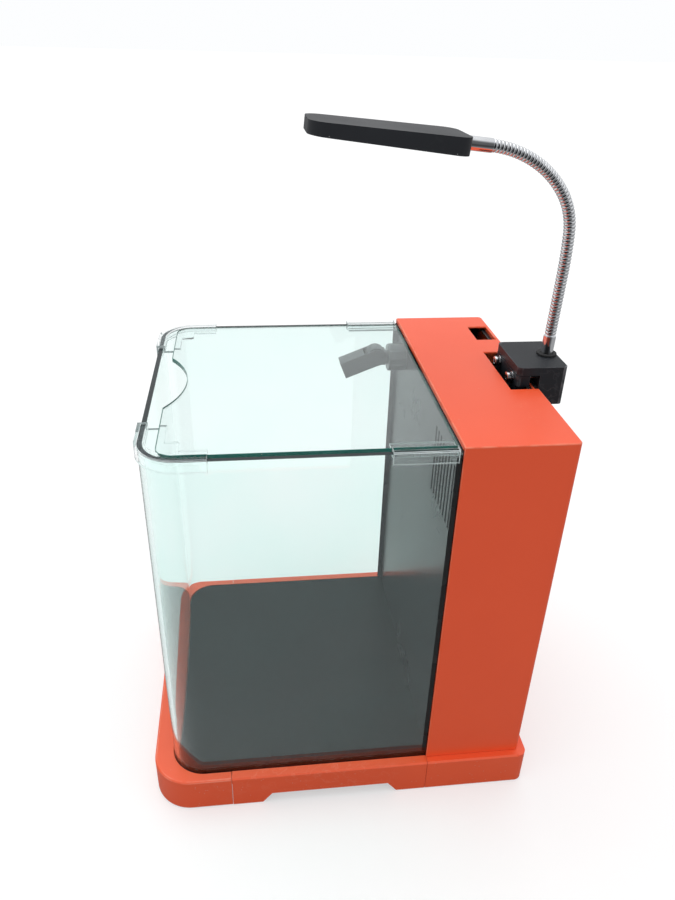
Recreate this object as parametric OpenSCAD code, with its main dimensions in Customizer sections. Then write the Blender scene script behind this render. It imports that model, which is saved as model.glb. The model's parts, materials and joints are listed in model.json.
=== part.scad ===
// Desktop nano aquarium: a bent-glass tank on a plastic base, with a filter chamber under a rear
// cover, a loose lid glass on clear brackets, and a flexible-arm LED lamp clamped to the rear rim.
// Millimetres. Origin on the table under the centre of the outline seen from above, lamp clamp
// included; -Y is the front, +Z is up.

/* [Tank] */
// Outside width of the tank glass
tank_w = 200; // [165:1:240]
// Outside length of the tank glass, front to back
tank_l = 242; // [200:1:290]
// Height of the glass rim above the table
rim_z = 275; // [225:1:330]
// Thickness of the tank glass
glass_t = 3; // [2.5:0.1:4]
// Outside radius of the two bent front corners
bend_r = 23; // [18:1:30]
// Thickness of the bottom glass
bottom_t = 4; // [3:0.5:6]
// Thickness of the black sheet on the tank floor
floor_t = 1; // [0.6:0.1:2]
// Width of the silicone fillets
bead_w = 3; // [2:0.5:4]

/* [Base] */
// Height of the base rim
base_h = 27; // [25:0.5:36]
// How far the base stands out in front of the glass
front_lip = 13; // [11:0.5:18]
// How far the base stands out beyond the cover at the sides and the back
side_lip = 5.25; // [4.8:0.05:8]
// Radius of the front corners of the base
base_front_r = 26; // [18:1:34]
// Radius of the rear corners of the base
base_rear_r = 6; // [4:1:12]
// Thickness of the base walls
base_wall = 2; // [1.6:0.1:2.4]
// Chamfer along the top edge of the base
rim_chamfer = 1; // [0.5:0.1:2]
// Length of the base panel that wraps the front
front_skirt_l = 53.5; // [45:0.5:66]
// Height of the cut-outs in the bottom edge of the side walls
cutout_h = 9; // [5:0.5:11]
// Length of the cut-outs along the table
cutout_l = 94.5; // [70:0.5:110]
// Thickness of the foam mat under the glass
mat_t = 2; // [1:0.5:3]
// Thickness of the deck plate that carries the tank
deck_t = 2.5; // [2:0.1:3.5]
// Diameter of the rubber feet
foot_d = 14; // [10:1:18]
// How far the base stands off the table on its feet
foot_gap = 0.6; // [0.4:0.1:1.5]

/* [Rear cover] */
// Length of the rear cover, front to back
cover_l = 67.2; // [60:0.2:80]
// Thickness of the cover walls
cover_wall = 1.5; // [1.2:0.1:1.8]
// Gap between the tank glass and the cover
cover_gap = 0.25; // [0.2:0.05:0.5]
// Height of the cover top above the glass rim
cover_rise = 3.5; // [3:0.1:6]
// Radius of the rear vertical corners of the cover
cover_r = 3; // [1.5:0.5:3]
// Width of the notch for the lamp clamp
notch_w = 61; // [52:1:68]
// Depth of that notch from the rear face
notch_l = 18.2; // [17:0.1:22]
// Width of the cable hole
cable_hole_w = 26.5; // [14:0.5:30]
// Length of the cable hole
cable_hole_l = 14; // [8:0.5:16]
// Sideways distance from the middle to the cable hole's centre
cable_hole_x = 67.25; // [60:0.25:70]
// Distance from the rear face to the cable hole's centre
cable_hole_y = 9.2; // [9:0.1:16]

/* [Filter chamber] */
// Thickness of the black divider
divider_t = 3; // [2:0.5:4]
// Number of slots in the intake grille
slot_n = 8; // [4:1:9]
// Distance from one grille slot to the next
slot_pitch = 6.2; // [5:0.1:6.5]
// Width of each grille slot
slot_w = 3; // [2:0.1:3.5]
// Height of each grille slot
slot_h = 44; // [30:1:50]
// Depth of the grille's top edge below the glass rim
slot_drop = 17; // [12:1:26]
// Sideways distance from the middle to the grille's centre
grille_x = 63.5; // [60:0.5:66]
// Thickness of the two inner partitions
partition_t = 3; // [2:0.5:4]
// Sideways distance from the middle to each partition
partition_x = 31.5; // [26:0.5:34]
// Clearance between loose inner pieces and their walls
loose_gap = 1; // [0.5:0.1:2]

/* [Pump] */
// Sideways distance from the middle to the pump and the outlet
pump_x = 64; // [60:0.5:68]
// Width of the pump body
pump_w = 44; // [38:1:52]
// Length of the pump body, front to back
pump_l = 36; // [32:1:42]
// Height of the pump body
pump_h = 42; // [38:1:56]
// Diameter of the impeller blades
impeller_d = 22; // [18:1:25]
// Diameter of the impeller magnet
magnet_d = 12; // [10:0.5:14]
// Length of the impeller magnet
magnet_l = 18; // [14:0.5:19]
// Outside diameter of the pump hose
hose_d = 16; // [14:0.5:19]
// Wall of the pump hose
hose_wall = 1.8; // [1.2:0.1:2]

/* [Outlet nozzle] */
// Depth of the outlet's centre below the glass rim
outlet_drop = 15; // [14:0.5:30]
// Outside diameter of the clamping collar, across its corners
collar_d = 20; // [18.5:0.5:23]
// Length of the collar
collar_l = 13; // [11.5:0.5:18]
// Diameter of the ball at the bend of the nozzle
knee_d = 14; // [12.5:0.5:15]
// Outside width of the flat spout
spout_w = 13; // [11:0.5:16]
// Length of the spout beyond the bend
spout_l = 26; // [18:0.5:30]
// Downward tilt of the spout
spout_tilt = 22; // [0:1:30]

/* [Lid] */
// Distance from the outside of the side glass to the lid's edge
lid_side = 4.8; // [4.8:0.1:6]
// Distance from the outside of the front glass to the lid's front edge
lid_front = 10.6; // [9:0.1:12]
// Gap between the lid and the cover
lid_rear_gap = 1.5; // [0.8:0.1:3]
// Radius of the lid's front corners
lid_r = 10; // [9.5:0.5:14]
// Width of the finger notch at the lid's front edge
finger_w = 75; // [50:1:90]
// Depth of the finger notch
finger_d = 12; // [8:0.5:16]
// Height of the lid's underside below the glass rim
lid_drop = 2; // [1.5:0.1:3]
// Wall of the clear brackets
clip_t = 1.5; // [1.2:0.1:1.6]
// How far the brackets reach down the outside of the glass
clip_h = 6.5; // [5:0.5:10]
// Length of a corner bracket along the front
clip_front_l = 19.6; // [12:0.2:26]
// Length of a corner bracket along the side
clip_side_l = 15.6; // [10:0.2:24]
// Length of each rear bracket
clip_rear_l = 37; // [25:1:50]
// Width of the ledges that carry the lid
ledge_w = 8.8; // [6:0.1:11]

/* [Lamp clamp] */
// Width of the clamp
clamp_w = 45; // [40:1:50]
// Height of the clamp's top above the glass rim
clamp_rise = 14; // [13:0.5:18]
// Thickness of the bridge over the rim
bridge_t = 5.4; // [4.5:0.1:6.5]
// Thickness of the rear leg
leg_t = 18; // [17:0.5:22]
// How far the rear leg hangs below the glass rim
leg_drop = 12; // [9:0.5:16]
// Thickness of the upper part of the front jaw
jaw_t = 8.5; // [7.5:0.1:9]
// Thickness of the rubber pads
pad_t = 2; // [1.5:0.1:2.2]
// Gap between each pad and the wall that it grips
pad_gap = 0.3; // [0.2:0.05:0.4]
// Distance between the two clamp screws
screw_pitch = 26; // [22:1:28]
// Diameter of the clamp screws
screw_d = 3.5; // [3:0.1:3.6]
// Diameter of the clamp screw heads
screw_head_d = 6.6; // [6:0.1:6.8]
// Length of the clamp screw heads
screw_head_l = 3; // [2.5:0.1:3.2]
// Diameter of the grommet around the arm
grommet_d = 13; // [12:0.5:15]

/* [Flexible arm] */
// Outside diameter of the flexible arm
arm_d = 7.3; // [6.8:0.1:8]
// Diameter of the wire channel in the arm
arm_bore = 2.4; // [1.5:0.1:2.6]
// Diameter of the smooth end sleeves
ferrule_d = 8; // [7.8:0.1:9]
// Length of the lower sleeve above the clamp
ferrule_l = 14; // [10:0.5:20]
// Length of the upper sleeve
tip_ferrule_l = 17; // [12:0.5:20]
// Length of the first link, which is straight
link_1_l = 39; // [32:1:46]
// Length of each middle link
link_l = 26; // [22:1:31]
// Length of the last link
link_end_l = 32; // [27:1:38]
// Backward lean of the arm at the clamp
arm_lean = 1.5; // [0:0.5:4]

/* [Lamp head] */
// Length of the lamp head
head_l = 90; // [80:1:108]
// Width of the lamp head at the arm
head_w = 47.6; // [40:0.2:57]
// Width of the lamp head near its tip
head_tip_w = 43; // [36:0.5:50]
// Thickness of the lamp head at its tip
head_t = 7.2; // [6.6:0.1:9]
// Thickness of the lamp head at the arm
head_heel_t = 9.8; // [9.4:0.1:11]
// Radius of the corners at the arm
head_heel_r = 9; // [6:0.5:12]
// Radius of the corners at the tip
head_tip_r = 11; // [5:0.5:15]
// Wall of the lamp head
head_wall = 1.6; // [1.2:0.1:2]
// Rows of light-emitting diodes along the head
led_rows = 8; // [4:1:9]
// Diodes in each row across the head
led_cols = 3; // [2:1:3]

/* [Hidden] */
$fn = 72;

fit = 0.3;          // gap between pieces that only lie side by side
run = 0.05;         // radial clearance of a shaft in its bore
eps = 0.1;          // overshoot of cuts past a face
leg_gap = 0.55;     // depth of the clamp pad sunk behind the leg's face

// Footprint
base_w = tank_w + 2 * (cover_gap + cover_wall + side_lip);
base_l = front_lip + tank_l + cover_gap + cover_wall + side_lip;
overhang = pad_gap + pad_t + leg_gap + leg_t - side_lip;  // lamp clamp behind the base
base_y0 = -(base_l + overhang) / 2;
base_y1 = base_y0 + base_l;
base_mid = (base_y0 + base_y1) / 2;
glass_y0 = base_y0 + front_lip;
glass_y1 = glass_y0 + tank_l;
glass_x = tank_w / 2;
inner_x = glass_x - glass_t;
inner_y1 = glass_y1 - glass_t;

// Levels
glass_z = base_h - 3;              // lower edge of the tank glass, sunk in the base rim
deck_z = glass_z - mat_t;          // top of the deck plate
bottom_z = glass_z + bottom_t;     // top of the bottom glass
floor_z = bottom_z + floor_t;      // top of the black sheet
lid_z = rim_z - lid_drop;          // underside of the lid

// Cover
cover_x = glass_x + cover_gap + cover_wall;
cover_y1 = glass_y1 + cover_gap + cover_wall;
cover_y0 = cover_y1 - cover_l;
cover_top = rim_z + cover_rise;
cover_z = base_h + fit;
notch_y0 = cover_y1 - notch_l;

// Base panels
front_seam = base_y0 + front_skirt_l;
rear_seam = cover_y0;
seam_gap = 0.3;

// Filter chamber
divider_y0 = cover_y0 + 0.2;
divider_y1 = divider_y0 + divider_t;
chamber_l = inner_y1 - divider_y1;
chamber_y = (inner_y1 + divider_y1) / 2;
chamber_top = rim_z - 1;
grille_top = rim_z - slot_drop;

// Outlet
outlet_z = rim_z - outlet_drop;
stub_d = 13;                       // threaded stub of the outlet elbow
knee_y = divider_y0 - collar_l - 9;
knee_z = outlet_z + 2;
neck_d = 10;
knee_half = max(0.36 * knee_d, neck_d / 2);   // half the width of the knee's barrel
pivot_d = 3;

// Pump
cup_h = 4;
pump_z = floor_z + cup_h;
pump_y = chamber_y - 2;
hose_id = hose_d - 2 * hose_wall;
spigot_l = 9;
impeller_z = pump_z + pump_h / 2;
blade_l = 7;
pump_y0 = pump_y - pump_l / 2;
pump_y1 = pump_y + pump_l / 2;
blade_y0 = pump_y1 - blade_l - 2.5;
magnet_y0 = blade_y0 - magnet_l;

// Clamp: the jaw grips the rear glass from inside, the rear leg grips the cover from behind
clamp_top = rim_z + clamp_rise;
bridge_z = clamp_top - bridge_t;
leg_y0 = cover_y1 + pad_gap + pad_t + leg_gap;
leg_y1 = leg_y0 + leg_t;
lip_y1 = inner_y1 - pad_gap - pad_t;
jaw_y1 = leg_y0 - 6.5;
jaw_y0 = jaw_y1 - jaw_t;
jaw_z = rim_z + 1.2;
leg_z = rim_z - leg_drop;
screw_z = rim_z + 4;
washer_t = 0.8;
washer_d = screw_head_d + 1.2;
pad_w = clamp_w - 5;
lip_drop = leg_drop - 1;
arm_y = leg_y1 - 6.8;

// Arm: one length and one turn for each link
link_lengths = [link_1_l, link_l, link_l, link_l - 4, link_end_l];
link_turns = [0, 5, 33, 21, 27];
joint_gap = 1;                     // half the gap between two links
ball_d = 5.8;
function link_end(l, a) =
    a == 0 ? [0, l] : let (r = l * 180 / (PI * a)) [-r * (1 - cos(a)), r * sin(a)];
function turned(p, h) = [p[0] * cos(h) - p[1] * sin(h), p[0] * sin(h) + p[1] * cos(h)];
function heading(i) = i == 0 ? -arm_lean : heading(i - 1) + link_turns[i - 1];
function arm_at(i) = i == 0
    ? [arm_y, clamp_top] + turned([0, ferrule_l], -arm_lean)
    : arm_at(i - 1) + turned(link_end(link_lengths[i - 1], link_turns[i - 1]), heading(i - 1));

// Lamp head
lens_t = 1.6;
board_t = 1.2;
head_neck_l = 15;
spigot_d = 5;                      // the upper sleeve's spigot inside the head

// ---------- shared shapes ----------

// A rectangle from y0 to y1 with its own corner radius in front and at the back
module bent_outline(w, y0, y1, rf, rb = 0) {
    union() {
        translate([-w / 2, y0 + rf]) square([w, y1 - y0 - rf - rb]);
        translate([-w / 2 + rf, y0]) square([w - 2 * rf, rf + eps]);
        for (s = [-1, 1]) translate([s * (w / 2 - rf), y0 + rf]) circle(rf);
        if (rb > 0) {
            translate([-w / 2 + rb, y1 - rb - eps]) square([w - 2 * rb, rb + eps]);
            for (s = [-1, 1]) translate([s * (w / 2 - rb), y1 - rb]) circle(rb);
        }
    }
}

module base_outline(inset = 0) {
    bent_outline(base_w - 2 * inset, base_y0 + inset, base_y1 - inset,
        base_front_r - inset, base_rear_r - inset);
}

module glass_outline(grow = 0, tail = 0) {
    bent_outline(tank_w + 2 * grow, glass_y0 - grow, glass_y1 + grow + tail, bend_r + grow);
}

module box(x0, x1, y0, y1, z0, z1) {
    translate([x0, y0, z0]) cube([x1 - x0, y1 - y0, z1 - z0]);
}

// Cylinder along +Y from y0 to y1
module rod_y(d, x, y0, y1, z) {
    translate([x, y0, z]) rotate([-90, 0, 0]) cylinder(d = d, h = y1 - y0);
}

module rounded_rect(w, l, r) {
    union() {
        translate([-w / 2 + r, -l / 2]) square([w - 2 * r, l]);
        translate([-w / 2, -l / 2 + r]) square([w, l - 2 * r]);
        for (x = [-1, 1], y = [-1, 1]) translate([x * (w / 2 - r), y * (l / 2 - r)]) circle(r);
    }
}

// ---------- base ----------

rear_lip = base_y1 - glass_y1;     // width of the rim behind the tank
foot_spots = [
    for (x = [-1, 1], y = [base_y0 + 38, base_y1 - 24]) [x * (base_w / 2 - 20), y]
];
screw_spots = [
    for (x = [-1, 1]) each [
        [x * base_w / 4, (base_y0 + base_wall + glass_y0) / 2],
        [x * base_w / 4, base_y1 - (base_wall + rear_lip) / 2],
    ]
];
skirt_screw_d = 2.5;
skirt_head_d = 4;
skirt_head_h = 1.8;

module rim_chamfer_cut() {
    c = rim_chamfer;
    straight_l = base_l - base_front_r - base_rear_r;
    for (s = [-1, 1]) {
        translate([s * base_w / 2, base_y0 + base_front_r, base_h]) rotate([-90, 0, 0])
            linear_extrude(straight_l)
                polygon([[eps, -eps], [-s * c, -eps], [-s * c, 0], [0, c], [s * eps, c], [s * eps, -eps]]);
        translate([s * (base_w / 2 - base_front_r), base_y0 + base_front_r, base_h])
            rotate([0, 0, s > 0 ? -90 : 180]) rotate_extrude(angle = 90)
                polygon([[base_front_r - c, 0], [base_front_r, -c], [base_front_r + 1, -c],
                    [base_front_r + 1, eps], [base_front_r - c, eps]]);
    }
    translate([-base_w / 2 + base_front_r, base_y0, base_h]) rotate([90, 0, 90])
        linear_extrude(base_w - 2 * base_front_r)
            polygon([[c, 0], [0, -c], [-1, -c], [-1, eps], [c, eps]]);
}

// Wall and rim that go all round the base, without the deck
module base_ring() {
    difference() {
        translate([0, 0, foot_gap]) linear_extrude(base_h - foot_gap) base_outline();
        translate([0, 0, deck_z - deck_t - eps]) linear_extrude(base_h) glass_outline(fit, 0);
        translate([0, 0, -eps]) linear_extrude(deck_z + eps) base_outline(base_wall);
        rim_chamfer_cut();
        for (p = screw_spots) translate([p[0], p[1], 0]) cylinder(d = skirt_screw_d, h = base_h - 1.5);
    }
}

module base_slice(y0, y1) {
    intersection() {
        base_ring();
        box(-base_w, base_w, y0, y1, -1, base_h + 1);
    }
}

module base_tray() color([0.80, 0.30, 0.17]) {
    rib_t = 2;
    rib_z = 11;
    difference() {
        union() {
            base_slice(front_seam + seam_gap / 2, rear_seam - seam_gap / 2);
            translate([0, 0, deck_z - deck_t]) linear_extrude(deck_t)
                base_outline(base_wall + 0.2);
            intersection() {
                union() {
                    for (x = [-0.33, 0, 0.33]) box(x * base_w - rib_t / 2, x * base_w + rib_t / 2,
                        base_y0, base_y1, rib_z, deck_z - deck_t + eps);
                    for (y = [-0.36, -0.12, 0.12, 0.36]) box(-base_w / 2, base_w / 2,
                        base_mid + y * base_l - rib_t / 2, base_mid + y * base_l + rib_t / 2,
                        rib_z, deck_z - deck_t + eps);
                }
                linear_extrude(base_h) base_outline(base_wall + 0.2);
            }
            for (p = foot_spots) translate([p[0], p[1], 2.2])
                cylinder(d = foot_d + 2, h = deck_z - deck_t - 2.2 + eps);
            box(-base_w / 2 + base_wall - eps, -base_w / 2 + base_wall + 0.3,
                front_seam + 1, rear_seam - 1, rib_z, deck_z);
            box(base_w / 2 - base_wall - 0.3, base_w / 2 - base_wall + eps,
                front_seam + 1, rear_seam - 1, rib_z, deck_z);
        }
        slope = 6.5;
        cut_y = (front_seam + rear_seam) / 2;
        translate([-base_w, cut_y, 0]) rotate([90, 0, 90]) linear_extrude(2 * base_w)
            polygon([[-cutout_l / 2, -1], [-cutout_l / 2, foot_gap], [-cutout_l / 2 + slope, cutout_h],
                [cutout_l / 2 - slope, cutout_h], [cutout_l / 2, foot_gap], [cutout_l / 2, -1]]);
        for (p = screw_spots) translate([p[0], p[1], 0])
            cylinder(d = skirt_screw_d + 0.2, h = deck_z + 1);
        for (p = screw_spots) translate([p[0], p[1], -1])
            cylinder(d = skirt_head_d + 0.6, h = deck_z - deck_t + 1);
        for (p = foot_spots) translate([p[0], p[1], 0]) cylinder(d = foot_d - 6 + 0.2, h = 8);
    }
}

module front_skirt() color([0.80, 0.30, 0.17]) base_slice(base_y0 - 1, front_seam - seam_gap / 2);

module rear_skirt() color([0.80, 0.30, 0.17]) base_slice(rear_seam + seam_gap / 2, base_y1 + 1);

module skirt_screws() color([0.55, 0.56, 0.58]) for (p = screw_spots) translate([p[0], p[1], 0]) {
    z = deck_z - deck_t;
    translate([0, 0, z - skirt_head_h]) cylinder(d = skirt_head_d, h = skirt_head_h);
    translate([0, 0, z - eps]) cylinder(d = skirt_screw_d - 0.1, h = base_h - 2.5 - z);
}

module rubber_feet() color([0.08, 0.08, 0.08]) for (p = foot_spots) translate([p[0], p[1], 0]) {
    cylinder(d = foot_d, h = 2);
    cylinder(d = foot_d - 6, h = 7.5);
}

module levelling_mat() color([0.12, 0.12, 0.13])
    translate([0, 0, deck_z]) linear_extrude(mat_t) glass_outline(0, 0);

// ---------- glass ----------

module tank_glass() color([0.80, 0.93, 0.92, 0.4]) translate([0, 0, glass_z])
    linear_extrude(rim_z - glass_z) difference() {
        glass_outline();
        glass_outline(-glass_t, 2 * glass_t);
    }

module rear_glass() color([0.80, 0.93, 0.92, 0.4])
    box(-inner_x, inner_x, inner_y1, glass_y1, glass_z, rim_z);

module bottom_glass() color([0.70, 0.85, 0.84, 0.4]) translate([0, 0, glass_z])
    linear_extrude(bottom_t) bent_outline(tank_w - 2 * (glass_t + 0.2), glass_y0 + glass_t + 0.2,
        inner_y1, bend_r - glass_t - 0.2);

module floor_sheet() color([0.16, 0.18, 0.19]) translate([0, 0, bottom_z])
    linear_extrude(floor_t) bent_outline(tank_w - 2 * (glass_t + 0.8), glass_y0 + glass_t + 0.8,
        inner_y1 - 0.5, bend_r - glass_t - 0.8);

module silicone_beads() color([0.15, 0.16, 0.17, 0.8]) for (s = [-1, 1]) {
    translate([s * inner_x, inner_y1, floor_z]) linear_extrude(rim_z - 2 - floor_z)
        polygon([[0, 0], [-s * bead_w, 0], [0, -bead_w]]);
    translate([s * inner_x, divider_y0, floor_z]) linear_extrude(lid_z - clip_t - 1 - floor_z)
        polygon([[0, 0], [-s * bead_w, 0], [0, -bead_w]]);
}

// ---------- filter chamber ----------

module filter_divider() color([0.20, 0.22, 0.23]) difference() {
    box(-inner_x, inner_x, divider_y0, divider_y1, floor_z, chamber_top);
    for (i = [0 : slot_n - 1]) {
        x = grille_x + (i - (slot_n - 1) / 2) * slot_pitch;
        box(x - slot_w / 2, x + slot_w / 2, divider_y0 - 1, divider_y1 + 1,
            grille_top - slot_h, grille_top);
    }
    rod_y(stub_d + 0.4, -pump_x, divider_y0 - 1, divider_y1 + 1, outlet_z);
}

// The partition beside the filter media stops short of the floor, and the pump's is a low weir
module partition(x, z0, z1) {
    box(x - partition_t / 2, x + partition_t / 2, divider_y1, inner_y1, z0, z1);
}

module media_partition() color([0.20, 0.22, 0.23])
    partition(partition_x, floor_z + 16, chamber_top - 6);

module pump_partition() color([0.20, 0.22, 0.23])
    partition(-partition_x, floor_z, floor_z + 0.72 * (rim_z - floor_z));

basket_x0 = partition_x + partition_t / 2 + loose_gap;
basket_x1 = inner_x - bead_w - loose_gap;
basket_y0 = divider_y1 + loose_gap;
basket_y1 = inner_y1 - bead_w - loose_gap;
basket_z0 = floor_z;
basket_leg = 14;
basket_floor = basket_z0 + basket_leg + 2;
basket_top = grille_top - slot_h - 4;
basket_wall = 1.6;
ring_d = 12;
ring_l = 12;
ring_rows = 3;
ring_cols = floor((basket_x1 - basket_x0 - 2 * basket_wall - 1) / (ring_d + 0.4));
ring_lines = floor((basket_y1 - basket_y0 - 2 * basket_wall - 1) / (ring_d + 0.4));
rings_top = basket_floor + ring_rows * (ring_l + 0.4);
floss_h = 20;

module media_basket() color([0.15, 0.15, 0.16]) difference() {
    box(basket_x0, basket_x1, basket_y0, basket_y1, basket_z0, basket_top);
    box(basket_x0 + basket_wall, basket_x1 - basket_wall, basket_y0 + basket_wall,
        basket_y1 - basket_wall, basket_floor, basket_top + 1);
    box(basket_x0 + 6, basket_x1 - 6, basket_y0 - 1, basket_y1 + 1, basket_z0 - 1,
        basket_z0 + basket_leg);
    box(basket_x0 - 1, basket_x1 + 1, basket_y0 + 6, basket_y1 - 6, basket_z0 - 1,
        basket_z0 + basket_leg);
    for (x = [basket_x0 + 6 : 6 : basket_x1 - 8], y = [basket_y0 + 5 : 12 : basket_y1 - 14])
        box(x, x + 3, y, y + 9, basket_z0, basket_floor + 1);
}

module ceramic_rings() color([0.86, 0.80, 0.70])
    for (i = [0 : ring_cols - 1], j = [0 : ring_lines - 1], k = [0 : ring_rows - 1])
        translate([
            (basket_x0 + basket_x1) / 2 + (i - (ring_cols - 1) / 2) * (ring_d + 0.4),
            (basket_y0 + basket_y1) / 2 + (j - (ring_lines - 1) / 2) * (ring_d + 0.4),
            basket_floor + 0.1 + k * (ring_l + 0.3)])
            difference() {
                cylinder(d = ring_d, h = ring_l, $fn = 32);
                translate([0, 0, -1]) cylinder(d = ring_d / 2, h = ring_l + 2, $fn = 32);
            }

module media_block(z0, z1) {
    g = basket_wall + 0.4;
    box(basket_x0 + g, basket_x1 - g, basket_y0 + g, basket_y1 - g, z0, z1);
}

module coarse_sponge() color([0.12, 0.14, 0.18])
    media_block(rings_top + 0.3, basket_top - floss_h - 0.6);

module floss_pad() color([0.92, 0.93, 0.92]) media_block(basket_top - floss_h - 0.3, basket_top - 2);

module pump_body() color([0.10, 0.10, 0.11]) difference() {
    union() {
        box(-pump_x - pump_w / 2, -pump_x + pump_w / 2, pump_y0, pump_y1, pump_z, pump_z + pump_h);
        translate([-pump_x, pump_y, pump_z + pump_h - eps])
            cylinder(d = hose_id - 0.1, h = spigot_l + eps);
    }
    rod_y(impeller_d + 2, -pump_x, blade_y0 - 0.6, pump_y1 + 1, impeller_z);
    rod_y(magnet_d + 1.2, -pump_x, magnet_y0 - 0.6, pump_y1, impeller_z);
    rod_y(2, -pump_x, magnet_y0 - 3.6, pump_y1, impeller_z);
    translate([-pump_x, pump_y, impeller_z]) cylinder(d = hose_id - 4, h = pump_h);
}

module pump_grille() color([0.13, 0.13, 0.14]) difference() {
    box(-pump_x - pump_w / 2 + 1, -pump_x + pump_w / 2 - 1, pump_y1, pump_y1 + 2.4,
        pump_z + 2, pump_z + pump_h - 2);
    for (i = [-4 : 4]) box(-pump_x + i * 4 - 1, -pump_x + i * 4 + 1, pump_y1 - 1, pump_y1 + 4,
        impeller_z + 3, impeller_z + 13);
    rod_y(2.2, -pump_x, pump_y1 - 1, pump_y1 + 1.4, impeller_z);
}

module pump_cups() color([0.18, 0.18, 0.19])
    for (x = [-1, 1], y = [-1, 1])
        translate([-pump_x + x * (pump_w / 2 - 9), pump_y + y * (pump_l / 2 - 9), floor_z]) {
            cylinder(d1 = 14, d2 = 6, h = 2.4);
            cylinder(d = 6, h = cup_h);
        }

module impeller_shaft() color([0.9, 0.9, 0.88])
    rod_y(1.9, -pump_x, magnet_y0 - 3.4, pump_y1 + 1.2, impeller_z);

module impeller() color([0.70, 0.20, 0.16]) difference() {
    union() {
        rod_y(magnet_d, -pump_x, magnet_y0, blade_y0, impeller_z);
        rod_y(7, -pump_x, blade_y0 - eps, blade_y0 + blade_l, impeller_z);
        for (a = [0 : 60 : 300]) translate([-pump_x, blade_y0 + 0.2, impeller_z]) rotate([0, a, 0])
            box(2, impeller_d / 2, 0, blade_l - 0.2, -0.7, 0.7);
        rod_y(impeller_d * 0.7, -pump_x, blade_y0 - eps, blade_y0 + 1, impeller_z);
    }
    rod_y(1.9 + 2 * run, -pump_x, magnet_y0 - 1, blade_y0 + blade_l + 1, impeller_z);
}

hose_z0 = pump_z + pump_h + 0.3;
hose_z1 = outlet_z - hose_d / 2 - 6;

module pump_hose() color([0.55, 0.58, 0.58, 0.7]) translate([-pump_x, pump_y, hose_z0])
    difference() {
        cylinder(d = hose_d, h = hose_z1 - hose_z0);
        translate([0, 0, -1]) cylinder(d = hose_id, h = hose_z1 - hose_z0 + 2);
    }

module outlet_elbow() color([0.17, 0.18, 0.19]) difference() {
    union() {
        rod_y(stub_d, -pump_x, divider_y0 - collar_l + 4.3, pump_y, outlet_z);
        rod_y(hose_d + 4, -pump_x, divider_y1 + 0.3, divider_y1 + 3.3, outlet_z);
        translate([-pump_x, pump_y, outlet_z]) sphere(d = hose_d);
        translate([-pump_x, pump_y, hose_z1 + 0.3]) cylinder(d = hose_d, h = outlet_z - hose_z1 - 0.3);
        translate([-pump_x, pump_y, hose_z1 - 8]) cylinder(d = hose_id - 0.1, h = 9);
    }
    rod_y(stub_d - 4, -pump_x, divider_y0 - collar_l, pump_y, outlet_z);
    translate([-pump_x, pump_y, hose_z1 - 9]) cylinder(d = hose_id - 4, h = outlet_z - hose_z1 + 9);
}

module outlet_collar() color([0.24, 0.26, 0.28]) difference() {
    translate([-pump_x, divider_y0 - 0.1, outlet_z]) rotate([90, 15, 0])
        cylinder(d = collar_d, h = collar_l - 0.1, $fn = 12);
    rod_y(stub_d + 0.2, -pump_x, divider_y0 - collar_l + 2, divider_y0 + 1, outlet_z);
    rod_y(neck_d + 2 * run, -pump_x, divider_y0 - collar_l - 1, divider_y0 + 1, outlet_z);
}

// The knee turns in the collar about Y, and the spout tilts on the knee about X
module nozzle_knee() color([0.24, 0.26, 0.28]) {
    spread = knee_half;
    difference() {
        union() {
            rod_y(neck_d, -pump_x, knee_y + 2, divider_y0 - collar_l + 3.8, outlet_z);
            rod_y(stub_d - 0.6, -pump_x, divider_y0 - collar_l + 2.2, divider_y0 - collar_l + 3.8,
                outlet_z);
            translate([-pump_x, knee_y, knee_z]) rotate([0, 90, 0])
                translate([0, 0, -spread]) cylinder(d = knee_d, h = 2 * spread);
            translate([-pump_x, knee_y, knee_z]) rotate([0, 90, 0])
                translate([0, 0, -spread - 1.4]) cylinder(d = pivot_d, h = 2 * spread + 2.8);
            box(-pump_x - spread, -pump_x + spread, knee_y, knee_y + knee_d / 2, outlet_z - 4,
                knee_z + knee_d / 2 - 3);
        }
        rod_y(neck_d - 4, -pump_x, knee_y + 3, divider_y0, outlet_z);
    }
}

module nozzle_spout() color([0.24, 0.26, 0.28])
    translate([-pump_x, knee_y, knee_z]) rotate([90 + spout_tilt, 0, 0]) {
        cheek = knee_half;
        difference() {
            union() {
                translate([-spout_w / 2, -knee_d / 2 + 1, knee_d / 2 + fit])
                    cube([spout_w, knee_d - 2, spout_l - knee_d / 2]);
                for (s = [-1, 1]) translate([s * (cheek + 0.3 + 0.65), 0, 0]) rotate([0, 90, 0])
                    translate([0, 0, -0.65]) cylinder(d = knee_d - 2, h = 1.3);
                for (s = [-1, 1]) translate([s * (cheek + 0.3 + 0.65) - 0.65, -knee_d / 2 + 1, 0])
                    cube([1.3, knee_d - 2, knee_d / 2 + 1]);
            }
            translate([-spout_w / 2 + 1.6, -knee_d / 2 + 2.6, -1])
                cube([spout_w - 3.2, knee_d - 5.2, spout_l + 10]);
            rotate([0, 90, 0]) translate([0, 0, -spout_w])
                cylinder(d = pivot_d + 2 * run, h = 2 * spout_w);
        }
    }

// ---------- rear cover ----------

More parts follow.
